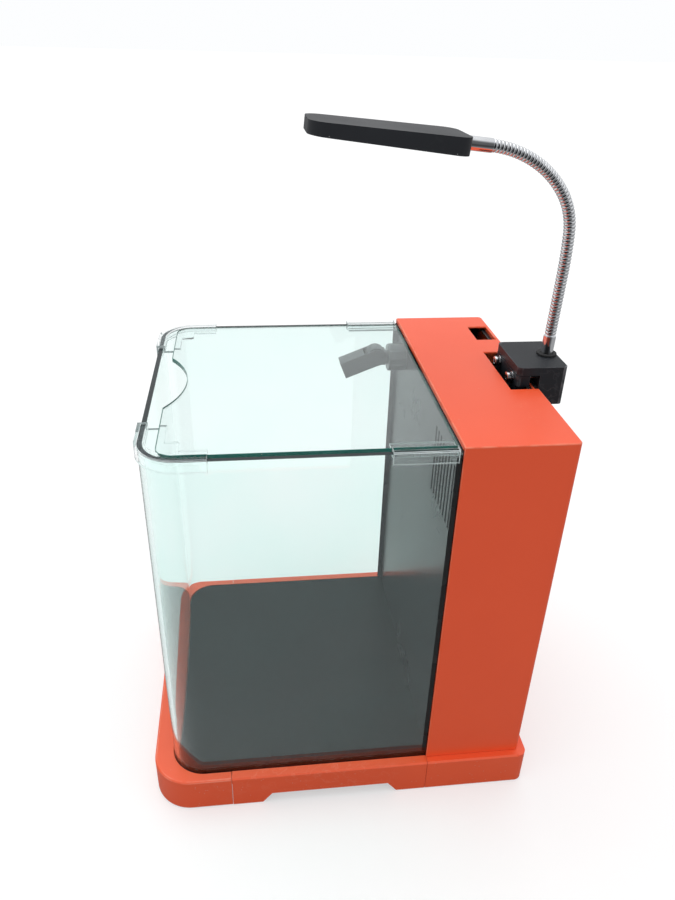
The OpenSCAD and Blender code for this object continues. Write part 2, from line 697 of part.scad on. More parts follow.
module rear_cover() color([0.98, 0.42, 0.27]) {
    inner_top = cover_top - cover_wall;
    difference() {
        translate([0, 0, cover_z]) linear_extrude(cover_top - cover_z)
            bent_outline(2 * cover_x, cover_y0, cover_y1, 0, cover_r);
        translate([0, 0, cover_z - 1]) linear_extrude(inner_top - cover_z + 1)
            bent_outline(2 * (cover_x - cover_wall), cover_y0 + cover_wall, cover_y1 - cover_wall, 0);
        box(-cover_x + cover_wall, cover_x - cover_wall, cover_y0 - 1, cover_y1 - cover_r,
            cover_z - 1, rim_z + 0.4);
        box(-notch_w / 2, notch_w / 2, notch_y0, cover_y1 + 1, rim_z + 0.4, cover_top + 1);
        box(-cable_hole_x - cable_hole_w / 2, -cable_hole_x + cable_hole_w / 2,
            cover_y1 - cable_hole_y - cable_hole_l / 2, cover_y1 - cable_hole_y + cable_hole_l / 2,
            inner_top - 1, cover_top + 1);
    }
}

// ---------- lid and its clear brackets ----------

lid_y0 = glass_y0 + lid_front;
lid_y1 = cover_y0 - lid_rear_gap;
finger_r = (finger_w * finger_w / 4 + finger_d * finger_d) / (2 * finger_d);

module lid_glass() color([0.78, 0.93, 0.91, 0.4]) translate([0, 0, lid_z])
    linear_extrude(glass_t) difference() {
        bent_outline(tank_w - 2 * lid_side, lid_y0, lid_y1, lid_r);
        translate([0, lid_y0 + finger_d - finger_r]) circle(finger_r, $fn = 180);
    }

// Section of a bracket in the plane across the rim: x is the distance outward from the glass face
leg_in = 4.2;
module clip_section(ledge = ledge_w) {
    polygon([
        [clip_t + 0.2, -clip_h], [clip_t + 0.2, 2], [-leg_in, 2], [-leg_in, -lid_drop],
        [-leg_in - ledge, -lid_drop], [-leg_in - ledge, -lid_drop - clip_t],
        [-glass_t - 0.2, -lid_drop - clip_t], [-glass_t - 0.2, 0.3], [0.2, 0.3], [0.2, -clip_h],
    ]);
}

module rear_clip(s) {
    y1 = cover_y0 - 2;
    mirror([s > 0 ? 0 : 1, 0, 0]) translate([glass_x, y1, rim_z]) rotate([90, 0, 0])
        linear_extrude(clip_rear_l) clip_section();
}

module corner_clip(s) mirror([s > 0 ? 0 : 1, 0, 0]) {
    cx = glass_x - bend_r;
    cy = glass_y0 + bend_r;
    translate([glass_x, cy + clip_side_l, rim_z]) rotate([90, 0, 0])
        linear_extrude(clip_side_l) clip_section();
    translate([cx, cy, rim_z]) rotate([0, 0, -90]) rotate_extrude(angle = 90)
        translate([bend_r, 0]) clip_section(bend_r - leg_in - 1);
    translate([cx - clip_front_l, glass_y0, rim_z]) rotate([90, 0, 90]) linear_extrude(clip_front_l)
        mirror([1, 0]) clip_section(lid_front);
}

module rear_clip_left() color([0.88, 0.95, 0.95, 0.35]) rear_clip(-1);
module rear_clip_right() color([0.88, 0.95, 0.95, 0.35]) rear_clip(1);
module corner_clip_left() color([0.88, 0.95, 0.95, 0.35]) corner_clip(-1);
module corner_clip_right() color([0.88, 0.95, 0.95, 0.35]) corner_clip(1);

// ---------- lamp clamp ----------

module clamp_body() color([0.24, 0.25, 0.26]) difference() {
    union() {
        box(-clamp_w / 2, clamp_w / 2, jaw_y0, leg_y1, bridge_z, clamp_top);
        box(-clamp_w / 2, clamp_w / 2, leg_y0, leg_y1, leg_z, clamp_top);
    }
    for (s = [-1, 1])
        rod_y(screw_d + 2 * run, s * screw_pitch / 2, leg_y0 - 1, leg_y1 - 4, screw_z);
    translate([0, arm_y, clamp_top - 20]) cylinder(d = grommet_d - 3, h = 21);
    translate([0, arm_y, leg_z - 1]) cylinder(d = 5, h = leg_drop + clamp_rise - 18);
}

module body_pad() color([0.10, 0.10, 0.10])
    box(-pad_w / 2, pad_w / 2, cover_y1 + pad_gap, leg_y0, leg_z + 1, rim_z - 0.5);

module cord_gland() color([0.09, 0.09, 0.09]) difference() {
    union() {
        translate([0, arm_y, leg_z - 2.5]) cylinder(d = 8, h = 2.5);
        translate([0, arm_y, leg_z - eps]) cylinder(d = 5 - 2 * run, h = 6);
    }
    translate([0, arm_y, leg_z - 4]) cylinder(d = 3, h = 12);
}

module arm_grommet() color([0.12, 0.12, 0.13]) difference() {
    union() {
        translate([0, arm_y, clamp_top]) cylinder(d = grommet_d, h = 1.4);
        translate([0, arm_y, clamp_top - 6]) cylinder(d = grommet_d - 3 - 2 * run, h = 6 + eps);
    }
    translate([0, arm_y, clamp_top]) rotate([-arm_lean, 0, 0])
        translate([0, 0, -9]) cylinder(d = ferrule_d + 2 * run, h = 14);
}

module lower_ferrule() color([0.78, 0.78, 0.80]) translate([0, arm_y, clamp_top])
    rotate([-arm_lean, 0, 0]) difference() {
        union() {
            translate([0, 0, -14]) cylinder(d = ferrule_d, h = 14 + ferrule_l - joint_gap);
            arm_ball(ferrule_l);
        }
        translate([0, 0, -15]) cylinder(d = arm_bore, h = 40);
    }

module clamp_jaw() color([0.20, 0.21, 0.22]) difference() {
    union() {
        box(-clamp_w / 2, clamp_w / 2, jaw_y0, jaw_y1, jaw_z, bridge_z - fit);
        box(-pad_w / 2, pad_w / 2, jaw_y0, lip_y1, rim_z - lip_drop, jaw_z + eps);
    }
    for (s = [-1, 1])
        rod_y(screw_d + 2 * run, s * screw_pitch / 2, jaw_y0 - 1, jaw_y1 + 1, screw_z);
}

module jaw_pad() color([0.10, 0.10, 0.10])
    box(-pad_w / 2 + 1, pad_w / 2 - 1, lip_y1, lip_y1 + pad_t, rim_z - lip_drop + 0.5, rim_z - 1);

module jaw_washers() color([0.75, 0.75, 0.77]) for (s = [-1, 1]) difference() {
    rod_y(washer_d, s * screw_pitch / 2, jaw_y0 - washer_t, jaw_y0, screw_z);
    rod_y(screw_d + 2 * run, s * screw_pitch / 2, jaw_y0 - washer_t - 1, jaw_y0 + 1, screw_z);
}

module clamp_screw(s) color([0.80, 0.80, 0.82]) difference() {
    head_y1 = jaw_y0 - washer_t - 0.2;
    union() {
        rod_y(screw_head_d, s * screw_pitch / 2, head_y1 - screw_head_l, head_y1, screw_z);
        rod_y(screw_d, s * screw_pitch / 2, head_y1 - eps, leg_y1 - 7, screw_z);
    }
    translate([s * screw_pitch / 2, head_y1 - screw_head_l - 1, screw_z]) rotate([-90, 0, 0])
        cylinder(d = screw_head_d / 2, h = 3, $fn = 6);
}

module clamp_screw_left() clamp_screw(-1);
module clamp_screw_right() clamp_screw(1);

// ---------- flexible arm ----------

// Ball and short neck at height l on the current axis
module arm_ball(l) {
    translate([0, 0, l]) sphere(d = ball_d);
    translate([0, 0, l - joint_gap - eps]) cylinder(d = ball_d - 1.6, h = joint_gap + eps);
}

// Round bar of diameter d from s0 to s1 along a link of length l that turns by angle a
module bar(l, a, d, s0, s1) {
    if (a == 0) {
        translate([0, 0, s0]) cylinder(d = d, h = s1 - s0);
    } else {
        r = l * 180 / (PI * a);
        translate([0, -r, 0]) rotate([90, 0, 90]) rotate([0, 0, s0 / l * a])
            rotate_extrude(angle = (s1 - s0) / l * a) translate([r, 0]) circle(d = d);
    }
}

module arm_link(i) {
    l = link_lengths[i];
    a = link_turns[i];
    p = arm_at(i);
    e = link_end(l, a);
    last = i == len(link_lengths) - 1;
    color([0.76, 0.77, 0.79]) translate([0, p[0], p[1]]) rotate([heading(i), 0, 0]) difference() {
        union() {
            bar(l, a, arm_d, joint_gap, last ? l : l - joint_gap);
            if (!last) translate([0, e[0], e[1]]) rotate([a, 0, 0]) arm_ball(0);
        }
        sphere(d = ball_d + 2 * fit);
        bar(l, a, arm_bore, joint_gap, last ? l - eps : l - 2);
        if (!last) translate([0, e[0], e[1]]) rotate([a, 0, 0]) translate([0, 0, -2.5])
            cylinder(d = arm_bore - 0.4, h = 7);
    }
}

module arm_link_1() arm_link(0);
module arm_link_2() arm_link(1);
module arm_link_3() arm_link(2);
module arm_link_4() arm_link(3);
module arm_link_5() arm_link(4);

// ---------- lamp head ----------

// Puts its children at the end of the arm: +Z runs towards the tip of the head and +Y is up
module at_head() {
    n = len(link_lengths);
    p = arm_at(n);
    translate([0, p[0], p[1]]) rotate([heading(n), 0, 0]) children();
}

// Slab of the head's plan outline from height y0 to y1, starting a distance from the arm's end
module head_slab(y0, y1, inset = 0, start = 0) {
    translate([0, y1, 0]) rotate([90, 0, 0]) linear_extrude(y1 - y0) head_outline(inset, start);
}

// The corners at the arm are rounded unless the outline starts beyond them
module head_outline(inset, start) {
    w0 = head_w / 2 - inset;
    w1 = head_tip_w / 2 - inset;
    s0 = tip_ferrule_l + start;
    s1 = tip_ferrule_l + head_l - inset;
    r = head_tip_r - inset;
    h = start > 1 ? 0 : head_heel_r - inset;
    union() {
        polygon(h > 0
            ? [[-w0 + h, s0], [w0 - h, s0], [w0 - h, s0 + h], [w0, s0 + h], [w0, s0 + h + 1],
               [w1, s1 - r], [-w1, s1 - r], [-w0, s0 + h + 1], [-w0, s0 + h], [-w0 + h, s0 + h]]
            : [[-w0, s0], [w0, s0], [w1, s1 - r], [-w1, s1 - r]]);
        if (h > 0)
            for (s = [-1, 1]) translate([s * (w0 - h), s0 + h]) circle(h);
        translate([-w1 + r, s1 - 2 * r]) square([2 * (w1 - r), 2 * r]);
        for (s = [-1, 1]) translate([s * (w1 - r), s1 - r]) circle(r);
    }
}

// Side profile of the head, thicker at the arm than at the tip
module head_taper() {
    s0 = tip_ferrule_l;
    s1 = tip_ferrule_l + head_l;
    translate([-head_w, 0, 0]) rotate([90, 0, 90]) linear_extrude(2 * head_w)
        polygon([[-head_heel_t / 2, s0], [head_heel_t / 2, s0], [head_t / 2, s1], [-head_t / 2, s1]]);
}

board_y0 = -head_t / 2 + lens_t + 0.9;
head_screw_spots = [
    for (s = [-1, 1], z = [0.24, 0.88]) [s * (head_w / 2 - 7), tip_ferrule_l + z * head_l]
];

module upper_ferrule() color([0.78, 0.78, 0.80]) at_head() difference() {
    union() {
        cylinder(d = ferrule_d, h = tip_ferrule_l);
        cylinder(d = spigot_d, h = tip_ferrule_l + 10);
    }
    translate([0, 0, -1]) cylinder(d = arm_bore, h = tip_ferrule_l + 12);
}

module head_shell() color([0.20, 0.20, 0.21]) at_head() difference() {
    intersection() {
        head_slab(-head_heel_t, head_heel_t);
        head_taper();
    }
    head_slab(-head_heel_t, -head_t / 2 + lens_t + 0.2, head_wall, head_neck_l);
    difference() {
        head_slab(-head_t / 2, head_t / 2 - head_wall, head_wall + 1.4, head_neck_l + 2);
        for (p = head_screw_spots) translate([p[0], head_t, p[1]]) rotate([90, 0, 0])
            cylinder(d = 5, h = 2 * head_t);
    }
    cylinder(d = spigot_d + 2 * run, h = tip_ferrule_l + 10.2);
    translate([0, 0, tip_ferrule_l + 5]) cylinder(d = arm_bore, h = head_neck_l);
    for (p = head_screw_spots) translate([p[0], head_t / 2 - 1.6, p[1]]) rotate([90, 0, 0])
        cylinder(d = 1.8, h = head_t);
}

module lens_cover() color([0.85, 0.90, 0.92, 0.5]) at_head() difference() {
    head_slab(-head_t / 2, -head_t / 2 + lens_t, head_wall + 0.15, head_neck_l + 0.15);
    for (p = head_screw_spots) translate([p[0], 0, p[1]]) rotate([90, 0, 0]) {
        cylinder(d = 2.2, h = head_t);
        translate([0, 0, head_t / 2 - 1]) cylinder(d = 4.4, h = head_t);
    }
}

module led_board() color([0.88, 0.89, 0.90]) at_head()
    translate([0, board_y0 + board_t, tip_ferrule_l + head_neck_l + 2]) rotate([90, 0, 0])
        linear_extrude(board_t) translate([-(head_w / 2 - 12), 0])
            square([head_w - 24, head_l - head_neck_l - 12]);

module led_chips() color([0.98, 0.90, 0.55]) at_head() {
    board_l = head_l - head_neck_l - 12;
    pitch = board_l / led_rows;
    for (i = [0 : led_rows - 1], j = [0 : led_cols - 1])
        translate([(j - (led_cols - 1) / 2) * (head_w - 30) / 2 - 1.4,
            board_y0 - 0.7, tip_ferrule_l + head_neck_l + 2 + (i + 0.5) * pitch - 1.4])
            cube([2.8, 0.7, 2.8]);
}

module head_screws() color([0.5, 0.5, 0.52]) at_head()
    for (p = head_screw_spots) translate([p[0], 0, p[1]]) rotate([90, 0, 0]) {
        translate([0, 0, head_t / 2 - 0.9]) cylinder(d = 4, h = 0.9);
        translate([0, 0, -head_t / 2 + 2.2]) cylinder(d = 1.7, h = head_t - 3);
    }

base_tray();
front_skirt();
rear_skirt();
skirt_screws();
rubber_feet();
levelling_mat();
tank_glass();
rear_glass();
bottom_glass();
floor_sheet();
silicone_beads();
filter_divider();
media_partition();
pump_partition();
media_basket();
coarse_sponge();
ceramic_rings();
floss_pad();
pump_body();
pump_grille();
pump_cups();
impeller_shaft();
impeller();
pump_hose();
outlet_elbow();
outlet_collar();
nozzle_knee();
nozzle_spout();
rear_cover();
lid_glass();
corner_clip_left();
corner_clip_right();
rear_clip_left();
rear_clip_right();
clamp_body();
body_pad();
cord_gland();
arm_grommet();
lower_ferrule();
clamp_jaw();
jaw_pad();
jaw_washers();
clamp_screw_left();
clamp_screw_right();
arm_link_1();
arm_link_2();
arm_link_3();
arm_link_4();
arm_link_5();
upper_ferrule();
head_shell();
led_board();
led_chips();
lens_cover();
head_screws();
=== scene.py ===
"""Looks for a desktop aquarium with a rear filter chamber, a loose lid glass and a flexible-arm lamp.

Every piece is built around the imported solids, in metres and in their own frame.
"""

import json
import logging
import math
from collections.abc import Callable, Iterable
from dataclasses import dataclass
from enum import Enum

import bmesh
import bpy
from mathutils import Matrix, Vector


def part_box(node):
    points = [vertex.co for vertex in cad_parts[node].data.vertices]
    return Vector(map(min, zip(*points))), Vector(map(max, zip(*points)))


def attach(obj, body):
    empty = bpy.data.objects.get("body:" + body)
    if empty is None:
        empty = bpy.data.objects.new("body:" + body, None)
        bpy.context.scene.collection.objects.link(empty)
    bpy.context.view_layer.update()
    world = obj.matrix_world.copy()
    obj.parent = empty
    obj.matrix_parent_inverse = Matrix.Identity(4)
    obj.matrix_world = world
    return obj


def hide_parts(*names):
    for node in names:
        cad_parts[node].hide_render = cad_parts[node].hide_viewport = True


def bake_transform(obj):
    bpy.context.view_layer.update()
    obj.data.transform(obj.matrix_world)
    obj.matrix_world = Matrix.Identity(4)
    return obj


RGB = tuple[float, float, float]
Socket = bpy.types.NodeSocket
Sockets = bpy.types.bpy_prop_collection
MM = 0.001
TINY = 1e-9
LOG = logging.getLogger("aquarium")

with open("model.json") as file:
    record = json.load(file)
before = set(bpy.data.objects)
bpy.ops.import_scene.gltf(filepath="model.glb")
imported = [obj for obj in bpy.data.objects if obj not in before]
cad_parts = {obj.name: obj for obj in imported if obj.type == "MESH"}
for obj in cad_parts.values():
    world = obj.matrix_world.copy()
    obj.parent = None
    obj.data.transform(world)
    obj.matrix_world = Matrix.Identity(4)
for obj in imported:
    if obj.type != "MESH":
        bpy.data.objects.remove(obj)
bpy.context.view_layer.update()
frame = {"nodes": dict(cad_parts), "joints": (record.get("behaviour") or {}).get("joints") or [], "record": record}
BODY_OF = {
    node: body
    for body, nodes in frame["record"]["behaviour"]["bodies"].items()
    for node in nodes
}
JOINTS = {joint["name"]: joint for joint in frame["joints"]}


# ---------------------------------------------------------------- node graphs


class Graph:
    """A node tree under construction."""

    def __init__(self, tree: bpy.types.NodeTree) -> None:
        """Keep the tree that the nodes go into."""
        self.tree = tree

    def add(self, kind: str, inputs: dict | None = None, **settings) -> bpy.types.Node:
        """Add one node.

        Args:
            kind: Blender's type name of the node.
            inputs: values or sockets by input name or index.
            settings: properties of the node itself.

        Returns:
            The new node.
        """
        node = self.tree.nodes.new(kind)
        for name, value in settings.items():
            setattr(node, name, value)
        for name, value in (inputs or {}).items():
            if isinstance(value, Socket):
                self.tree.links.new(value, node.inputs[name])
            else:
                node.inputs[name].default_value = value
        return node

    def maths(self, operation: str, *values: float | Socket, clamp: bool = False) -> Socket:
        """Add a Math node and return its output."""
        inputs = dict(enumerate(values))
        return self.add("ShaderNodeMath", inputs, operation=operation, use_clamp=clamp).outputs[0]

    def blend(self, factor: float | Socket, first: RGB | Socket, second: RGB | Socket) -> Socket:
        """Mix two colours by a factor and return the colour socket."""
        node = self.add("ShaderNodeMix", data_type="RGBA")
        for index, value in ((0, factor), (6, first), (7, second)):
            if isinstance(value, Socket):
                self.tree.links.new(value, node.inputs[index])
            elif index:
                node.inputs[index].default_value = (*value, 1.0)
            else:
                node.inputs[index].default_value = value
        return node.outputs[2]


class Effect(Enum):
    """Surface effects that several finishes share, each one shader node group."""

    DRIFT = "slow_colour_drift"
    GRAIN = "fine_grain"
    SCUFF = "hairline_scuffs"
    RUB = "rubbed_edges"
    SPECK = "dust_specks"
    PORES = "open_pores"


EFFECT_INPUTS: dict[Effect, tuple[str, ...]] = {
    Effect.DRIFT: ("Scale", "Contrast"),
    Effect.GRAIN: ("Scale", "Coarseness"),
    Effect.SCUFF: ("Scale", "Stretch", "Amount"),
    Effect.RUB: ("Scale", "Amount"),
    Effect.SPECK: ("Scale", "Amount", "Size"),
    Effect.PORES: ("Scale", "Depth"),
}


class EffectLibrary:
    """Builds each shared effect once and places it in materials."""

    def __init__(self) -> None:
        """Start with nothing built."""
        self._built: dict[Effect, bpy.types.NodeTree] = {}

    def tree(self, effect: Effect) -> bpy.types.NodeTree:
        """Return the node group of an effect, building it the first time."""
        if effect in self._built:
            return self._built[effect]
        tree = bpy.data.node_groups.new(effect.value, "ShaderNodeTree")
        for name in EFFECT_INPUTS[effect]:
            tree.interface.new_socket(name, in_out="INPUT", socket_type="NodeSocketFloat")
        tree.interface.new_socket("Value", in_out="OUTPUT", socket_type="NodeSocketFloat")
        graph = Graph(tree)
        source = graph.add("NodeGroupInput")
        place = graph.add("ShaderNodeTexCoord").outputs["Object"]
        value = getattr(self, "_" + effect.name.lower())(graph, source.outputs, place)
        graph.add("NodeGroupOutput", {"Value": value})
        self._built[effect] = tree
        return tree

    def place(self, graph: Graph, effect: Effect, **values: float) -> Socket:
        """Place an effect in a material.

        Args:
            graph: the material's tree.
            effect: which effect.
            values: its inputs by name.

        Returns:
            The effect's output, from 0 to 1.
        """
        node = graph.add("ShaderNodeGroup", node_tree=self.tree(effect))
        for name, value in values.items():
            node.inputs[name].default_value = value
        return node.outputs["Value"]

    @staticmethod
    def _noise(graph: Graph, vector: Socket, scale: Socket, detail: float = 2.0,
               rough: float = 0.5) -> Socket:
        """Add a noise texture and return its grey output."""
        inputs = {"Vector": vector, "Scale": scale, "Detail": detail, "Roughness": rough}
        return graph.add("ShaderNodeTexNoise", inputs).outputs[0]

    def _drift(self, graph: Graph, given: Sockets, place: Socket) -> Socket:
        """Broad soft patches."""
        level = graph.maths("SUBTRACT", self._noise(graph, place, given["Scale"], 3.0), 0.5)
        return graph.maths("ADD", graph.maths("MULTIPLY", level, given["Contrast"]), 0.5, clamp=True)

    def _grain(self, graph: Graph, given: Sockets, place: Socket) -> Socket:
        """The fine texture of a moulded or cast face."""
        fine = self._noise(graph, place, given["Scale"], 2.0, 0.6)
        broad = self._noise(graph, place, graph.maths("MULTIPLY", given["Scale"], 0.22), 1.0)
        share = graph.maths("MULTIPLY", broad, given["Coarseness"])
        return graph.maths("ADD", fine, share)

    def _scuff(self, graph: Graph, given: Sockets, place: Socket) -> Socket:
        """Thin lines that run mostly one way, in patches."""
        turn = graph.add("ShaderNodeMapping", {"Vector": place, "Rotation": (0.4, 0.3, 0.9)})
        size = graph.add("ShaderNodeCombineXYZ", {"X": given["Stretch"], "Y": 1.0, "Z": 1.0})
        long = graph.add(
            "ShaderNodeVectorMath",
            {0: turn.outputs[0], 1: size.outputs[0]},
            operation="MULTIPLY",
        )
        line = self._noise(graph, long.outputs[0], given["Scale"], 3.0)
        ridge = graph.maths("ABSOLUTE", graph.maths("SUBTRACT", line, 0.5))
        thin = graph.maths("SUBTRACT", 1.0, graph.maths("MULTIPLY", ridge, 45.0), clamp=True)
        patch = self._noise(graph, place, graph.maths("MULTIPLY", given["Scale"], 0.12), 2.0)
        edge = graph.maths("SUBTRACT", patch, graph.maths("SUBTRACT", 1.0, given["Amount"]))
        return graph.maths("MULTIPLY", thin, graph.maths("MULTIPLY", edge, 6.0, clamp=True))

    def _rub(self, graph: Graph, given: Sockets, place: Socket) -> Socket:
        """Wear along the rounded edges, which carry the attribute rim."""
        rim = graph.add("ShaderNodeAttribute", attribute_name="rim").outputs["Fac"]
        worn = self._noise(graph, place, given["Scale"], 3.0)
        worn = graph.maths("SUBTRACT", worn, graph.maths("SUBTRACT", 1.0, given["Amount"]))
        return graph.maths("MULTIPLY", rim, graph.maths("MULTIPLY", worn, 4.0, clamp=True))

    def _speck(self, graph: Graph, given: Sockets, place: Socket) -> Socket:
        """Small scattered spots."""
        cell = graph.add("ShaderNodeTexVoronoi", {"Vector": place, "Scale": given["Scale"]})
        spot = graph.maths("SUBTRACT", given["Size"], cell.outputs["Distance"])
        spot = graph.maths("MULTIPLY", spot, 12.0, clamp=True)
        pick = graph.add("ShaderNodeSeparateColor", {0: cell.outputs["Color"]}).outputs[0]
        keep = graph.maths("GREATER_THAN", pick, graph.maths("SUBTRACT", 1.0, given["Amount"]))
        return graph.maths("MULTIPLY", spot, keep)

    def _pores(self, graph: Graph, given: Sockets, place: Socket) -> Socket:
        """Open cells of a sponge, a foam or sintered ceramic."""
        cell = graph.add("ShaderNodeTexVoronoi", {"Vector": place, "Scale": given["Scale"]})
        near = graph.maths("MULTIPLY", cell.outputs["Distance"], given["Depth"], clamp=True)
        return graph.maths("POWER", near, 0.8)


EFFECTS = EffectLibrary()


# ---------------------------------------------------------------- finishes


WHITE: RGB = (1.0, 1.0, 1.0)
DUST_GREY: RGB = (0.75, 0.74, 0.72)
# Colour of the painted reflection on chrome.
PAINTED_REFLECTION_BLACK: RGB = (0.012, 0.013, 0.015)


@dataclass(frozen=True)
class Finish:
    """A finish: the name of its material and the record's slot it belongs to."""

    name: str
    slot: str

    def material(self) -> bpy.types.Material:
        """Return this finish's material, building it the first time."""
        found = bpy.data.materials.get(self.name)
        if found:
            return found
        made = bpy.data.materials.new(self.name)
        made.use_nodes = True
        made.node_tree.nodes.clear()
        graph = Graph(made.node_tree)
        output = graph.add("ShaderNodeOutputMaterial")
        made.node_tree.links.new(self.shade(graph), output.inputs["Surface"])
        self.fill(graph, output)
        return made

    def shade(self, graph: Graph) -> Socket:
        """Return the shader of the surface."""
        raise NotImplementedError

    def fill(self, graph: Graph, output: bpy.types.Node) -> None:
        """Add what fills the solid, where something does."""


@dataclass(frozen=True)
class Moulded(Finish):
    """Injection-moulded plastic or rubber, with grain, slow drift, rubbed edges and dust."""

    base: RGB
    deep: RGB
    rough: float = 0.4
    spread: float = 0.12
    grain: float = 2500.0
    grain_depth: float = 0.00002
    worn: RGB = (0.8, 0.8, 0.8)
    rub: float = 0.45
    rub_share: float = 0.35
    dust: float = 0.1
    dust_share: float = 0.35
    scuffs: float = 0.45
    scuff_share: float = 0.15
    shine: float = 0.5

    def shade(self, graph: Graph) -> Socket:
        """Return the plastic's shader."""
        drift = EFFECTS.place(graph, Effect.DRIFT, Scale=14.0, Contrast=2.2)
        scuff = EFFECTS.place(graph, Effect.SCUFF, Scale=120.0, Stretch=0.12, Amount=self.scuffs)
        rub = EFFECTS.place(graph, Effect.RUB, Scale=90.0, Amount=self.rub + 0.2)
        dust = EFFECTS.place(graph, Effect.SPECK, Scale=420.0, Amount=self.dust, Size=0.16)
        grain = EFFECTS.place(graph, Effect.GRAIN, Scale=self.grain, Coarseness=0.5)
        colour = graph.blend(drift, self.base, self.deep)
        colour = graph.blend(graph.maths("MULTIPLY", rub, self.rub_share), colour, self.worn)
        colour = graph.blend(graph.maths("MULTIPLY", scuff, self.scuff_share), colour, self.worn)
        colour = graph.blend(graph.maths("MULTIPLY", dust, self.dust_share), colour, DUST_GREY)
        rough = graph.maths("MULTIPLY_ADD", drift, self.spread, self.rough - self.spread / 2)
        rough = graph.maths("MULTIPLY_ADD", scuff, 0.18, rough)
        rough = graph.maths("MULTIPLY_ADD", dust, 0.25, rough, clamp=True)
        bump = graph.add("ShaderNodeBump",
                         {"Height": grain, "Distance": self.grain_depth, "Strength": 0.6})
        body = {
            "Base Color": colour,
            "Roughness": rough,
            "Normal": bump.outputs[0],
            "Specular IOR Level": self.shine,
        }
        return graph.add("ShaderNodeBsdfPrincipled", body).outputs[0]


@dataclass(frozen=True)
class Clear(Finish):
    """Clear glass or plastic, tinted by its own thickness and lightly wiped."""

    tint: RGB
    deep: RGB
    density: float
    ior: float = 1.5
    rough: float = 0.0
    smear: float = 0.03
    wave: float = 0.00002

    def shade(self, graph: Graph) -> Socket:
        """Return the clear shader, which lets lamplight straight through."""
        drift = EFFECTS.place(graph, Effect.DRIFT, Scale=9.0, Contrast=2.5)
        scuff = EFFECTS.place(graph, Effect.SCUFF, Scale=60.0, Stretch=0.1, Amount=0.42)
        wave = EFFECTS.place(graph, Effect.DRIFT, Scale=16.0, Contrast=1.0)
        colour = graph.blend(graph.maths("MULTIPLY", drift, 0.6), self.tint, WHITE)
        rough = graph.maths("MULTIPLY_ADD", scuff, self.smear, self.rough)
        bump = graph.add("ShaderNodeBump", {"Height": wave, "Distance": self.wave, "Strength": 1.0})
        body = {
            "Base Color": colour,
            "Roughness": rough,
            "Transmission Weight": 1.0,
            "IOR": self.ior,
            "Normal": bump.outputs[0],
        }
        glass = graph.add("ShaderNodeBsdfPrincipled", body).outputs[0]
        open_way = graph.add("ShaderNodeBsdfTransparent", {"Color": (*self.tint, 1.0)}).outputs[0]
        path = graph.add("ShaderNodeLightPath")
        inputs = {0: path.outputs["Is Shadow Ray"], 1: glass, 2: open_way}
        return graph.add("ShaderNodeMixShader", inputs).outputs[0]

    def fill(self, graph: Graph, output: bpy.types.Node) -> None:
        """Add the tint that deepens with thickness."""
        if not self.density:
            return
        volume = graph.add(
            "ShaderNodeVolumeAbsorption", {"Color": (*self.deep, 1.0), "Density": self.density}
        )
        graph.tree.links.new(volume.outputs[0], output.inputs["Volume"])


@dataclass(frozen=True)
class Metal(Finish):
    """Plated or bare metal with fine lines, a little tarnish and, where asked, a painted dark reflection."""

    base: RGB
    tarnish: RGB
    rough: float = 0.12
    lines: float = 0.1
    dirt: float = 0.5
    mirror_dark: float = 0.0
    mirror_band: tuple[float, float] = (0.08, 0.19)

    def shade(self, graph: Graph) -> Socket:
        """Return the metal's shader, with a painted reflection: dark in the middle, where a mirror would show the
        viewer's side.
        """
        drift = EFFECTS.place(graph, Effect.DRIFT, Scale=160.0, Contrast=2.5)
        lines = EFFECTS.place(graph, Effect.SCUFF, Scale=900.0, Stretch=0.15, Amount=0.6)
        grain = EFFECTS.place(graph, Effect.GRAIN, Scale=3500.0, Coarseness=0.4)
        share = graph.maths("MULTIPLY", drift, self.dirt)
        rough = graph.maths("MULTIPLY_ADD", lines, self.lines, self.rough)
        rough = graph.maths("MULTIPLY_ADD", drift, 0.06, rough, clamp=True)
        bump = graph.add("ShaderNodeBump", {"Height": grain, "Distance": 0.000004, "Strength": 0.5})
        colour = graph.blend(share, self.base, self.tarnish)
        # Painted reflection: the colour darkens where the faces turn towards the viewer.
        if self.mirror_dark:
            start, end = self.mirror_band
            facing = graph.add("ShaderNodeLayerWeight", {"Blend": 0.5}).outputs["Facing"]
            middle = graph.add("ShaderNodeMapRange",
                               {"Value": facing, "From Min": start, "From Max": end,
                                "To Min": self.mirror_dark, "To Max": 0.0}).outputs[0]
            colour = graph.blend(middle, colour, PAINTED_REFLECTION_BLACK)
        body = {
            "Base Color": colour,
            "Metallic": 1.0,
            "Roughness": rough,
            "Normal": bump.outputs[0],
        }
        return graph.add("ShaderNodeBsdfPrincipled", body).outputs[0]


@dataclass(frozen=True)
class Porous(Finish):
    """Sponge, floss, foam or sintered ceramic: a body full of small open cells."""

    base: RGB
    hollow: RGB
    cells: float
    depth: float
    rough: float = 0.9

    def shade(self, graph: Graph) -> Socket:
        """Return the porous shader."""
        pores = EFFECTS.place(graph, Effect.PORES, Scale=self.cells, Depth=1.6)
        drift = EFFECTS.place(graph, Effect.DRIFT, Scale=60.0, Contrast=2.0)
        # Painted shade: the middle of each open cell takes the darker pore colour.
        colour = graph.blend(pores, self.hollow, self.base)
        shade = tuple(0.75 * c for c in self.base)
        colour = graph.blend(graph.maths("MULTIPLY", drift, 0.4), colour, shade)
        rough = graph.maths("MULTIPLY_ADD", drift, 0.08, self.rough - 0.05, clamp=True)
        bump = graph.add("ShaderNodeBump", {"Height": pores, "Distance": self.depth, "Strength": 1.0})
        body = {"Base Color": colour, "Roughness": rough, "Normal": bump.outputs[0]}
        return graph.add("ShaderNodeBsdfPrincipled", body).outputs[0]


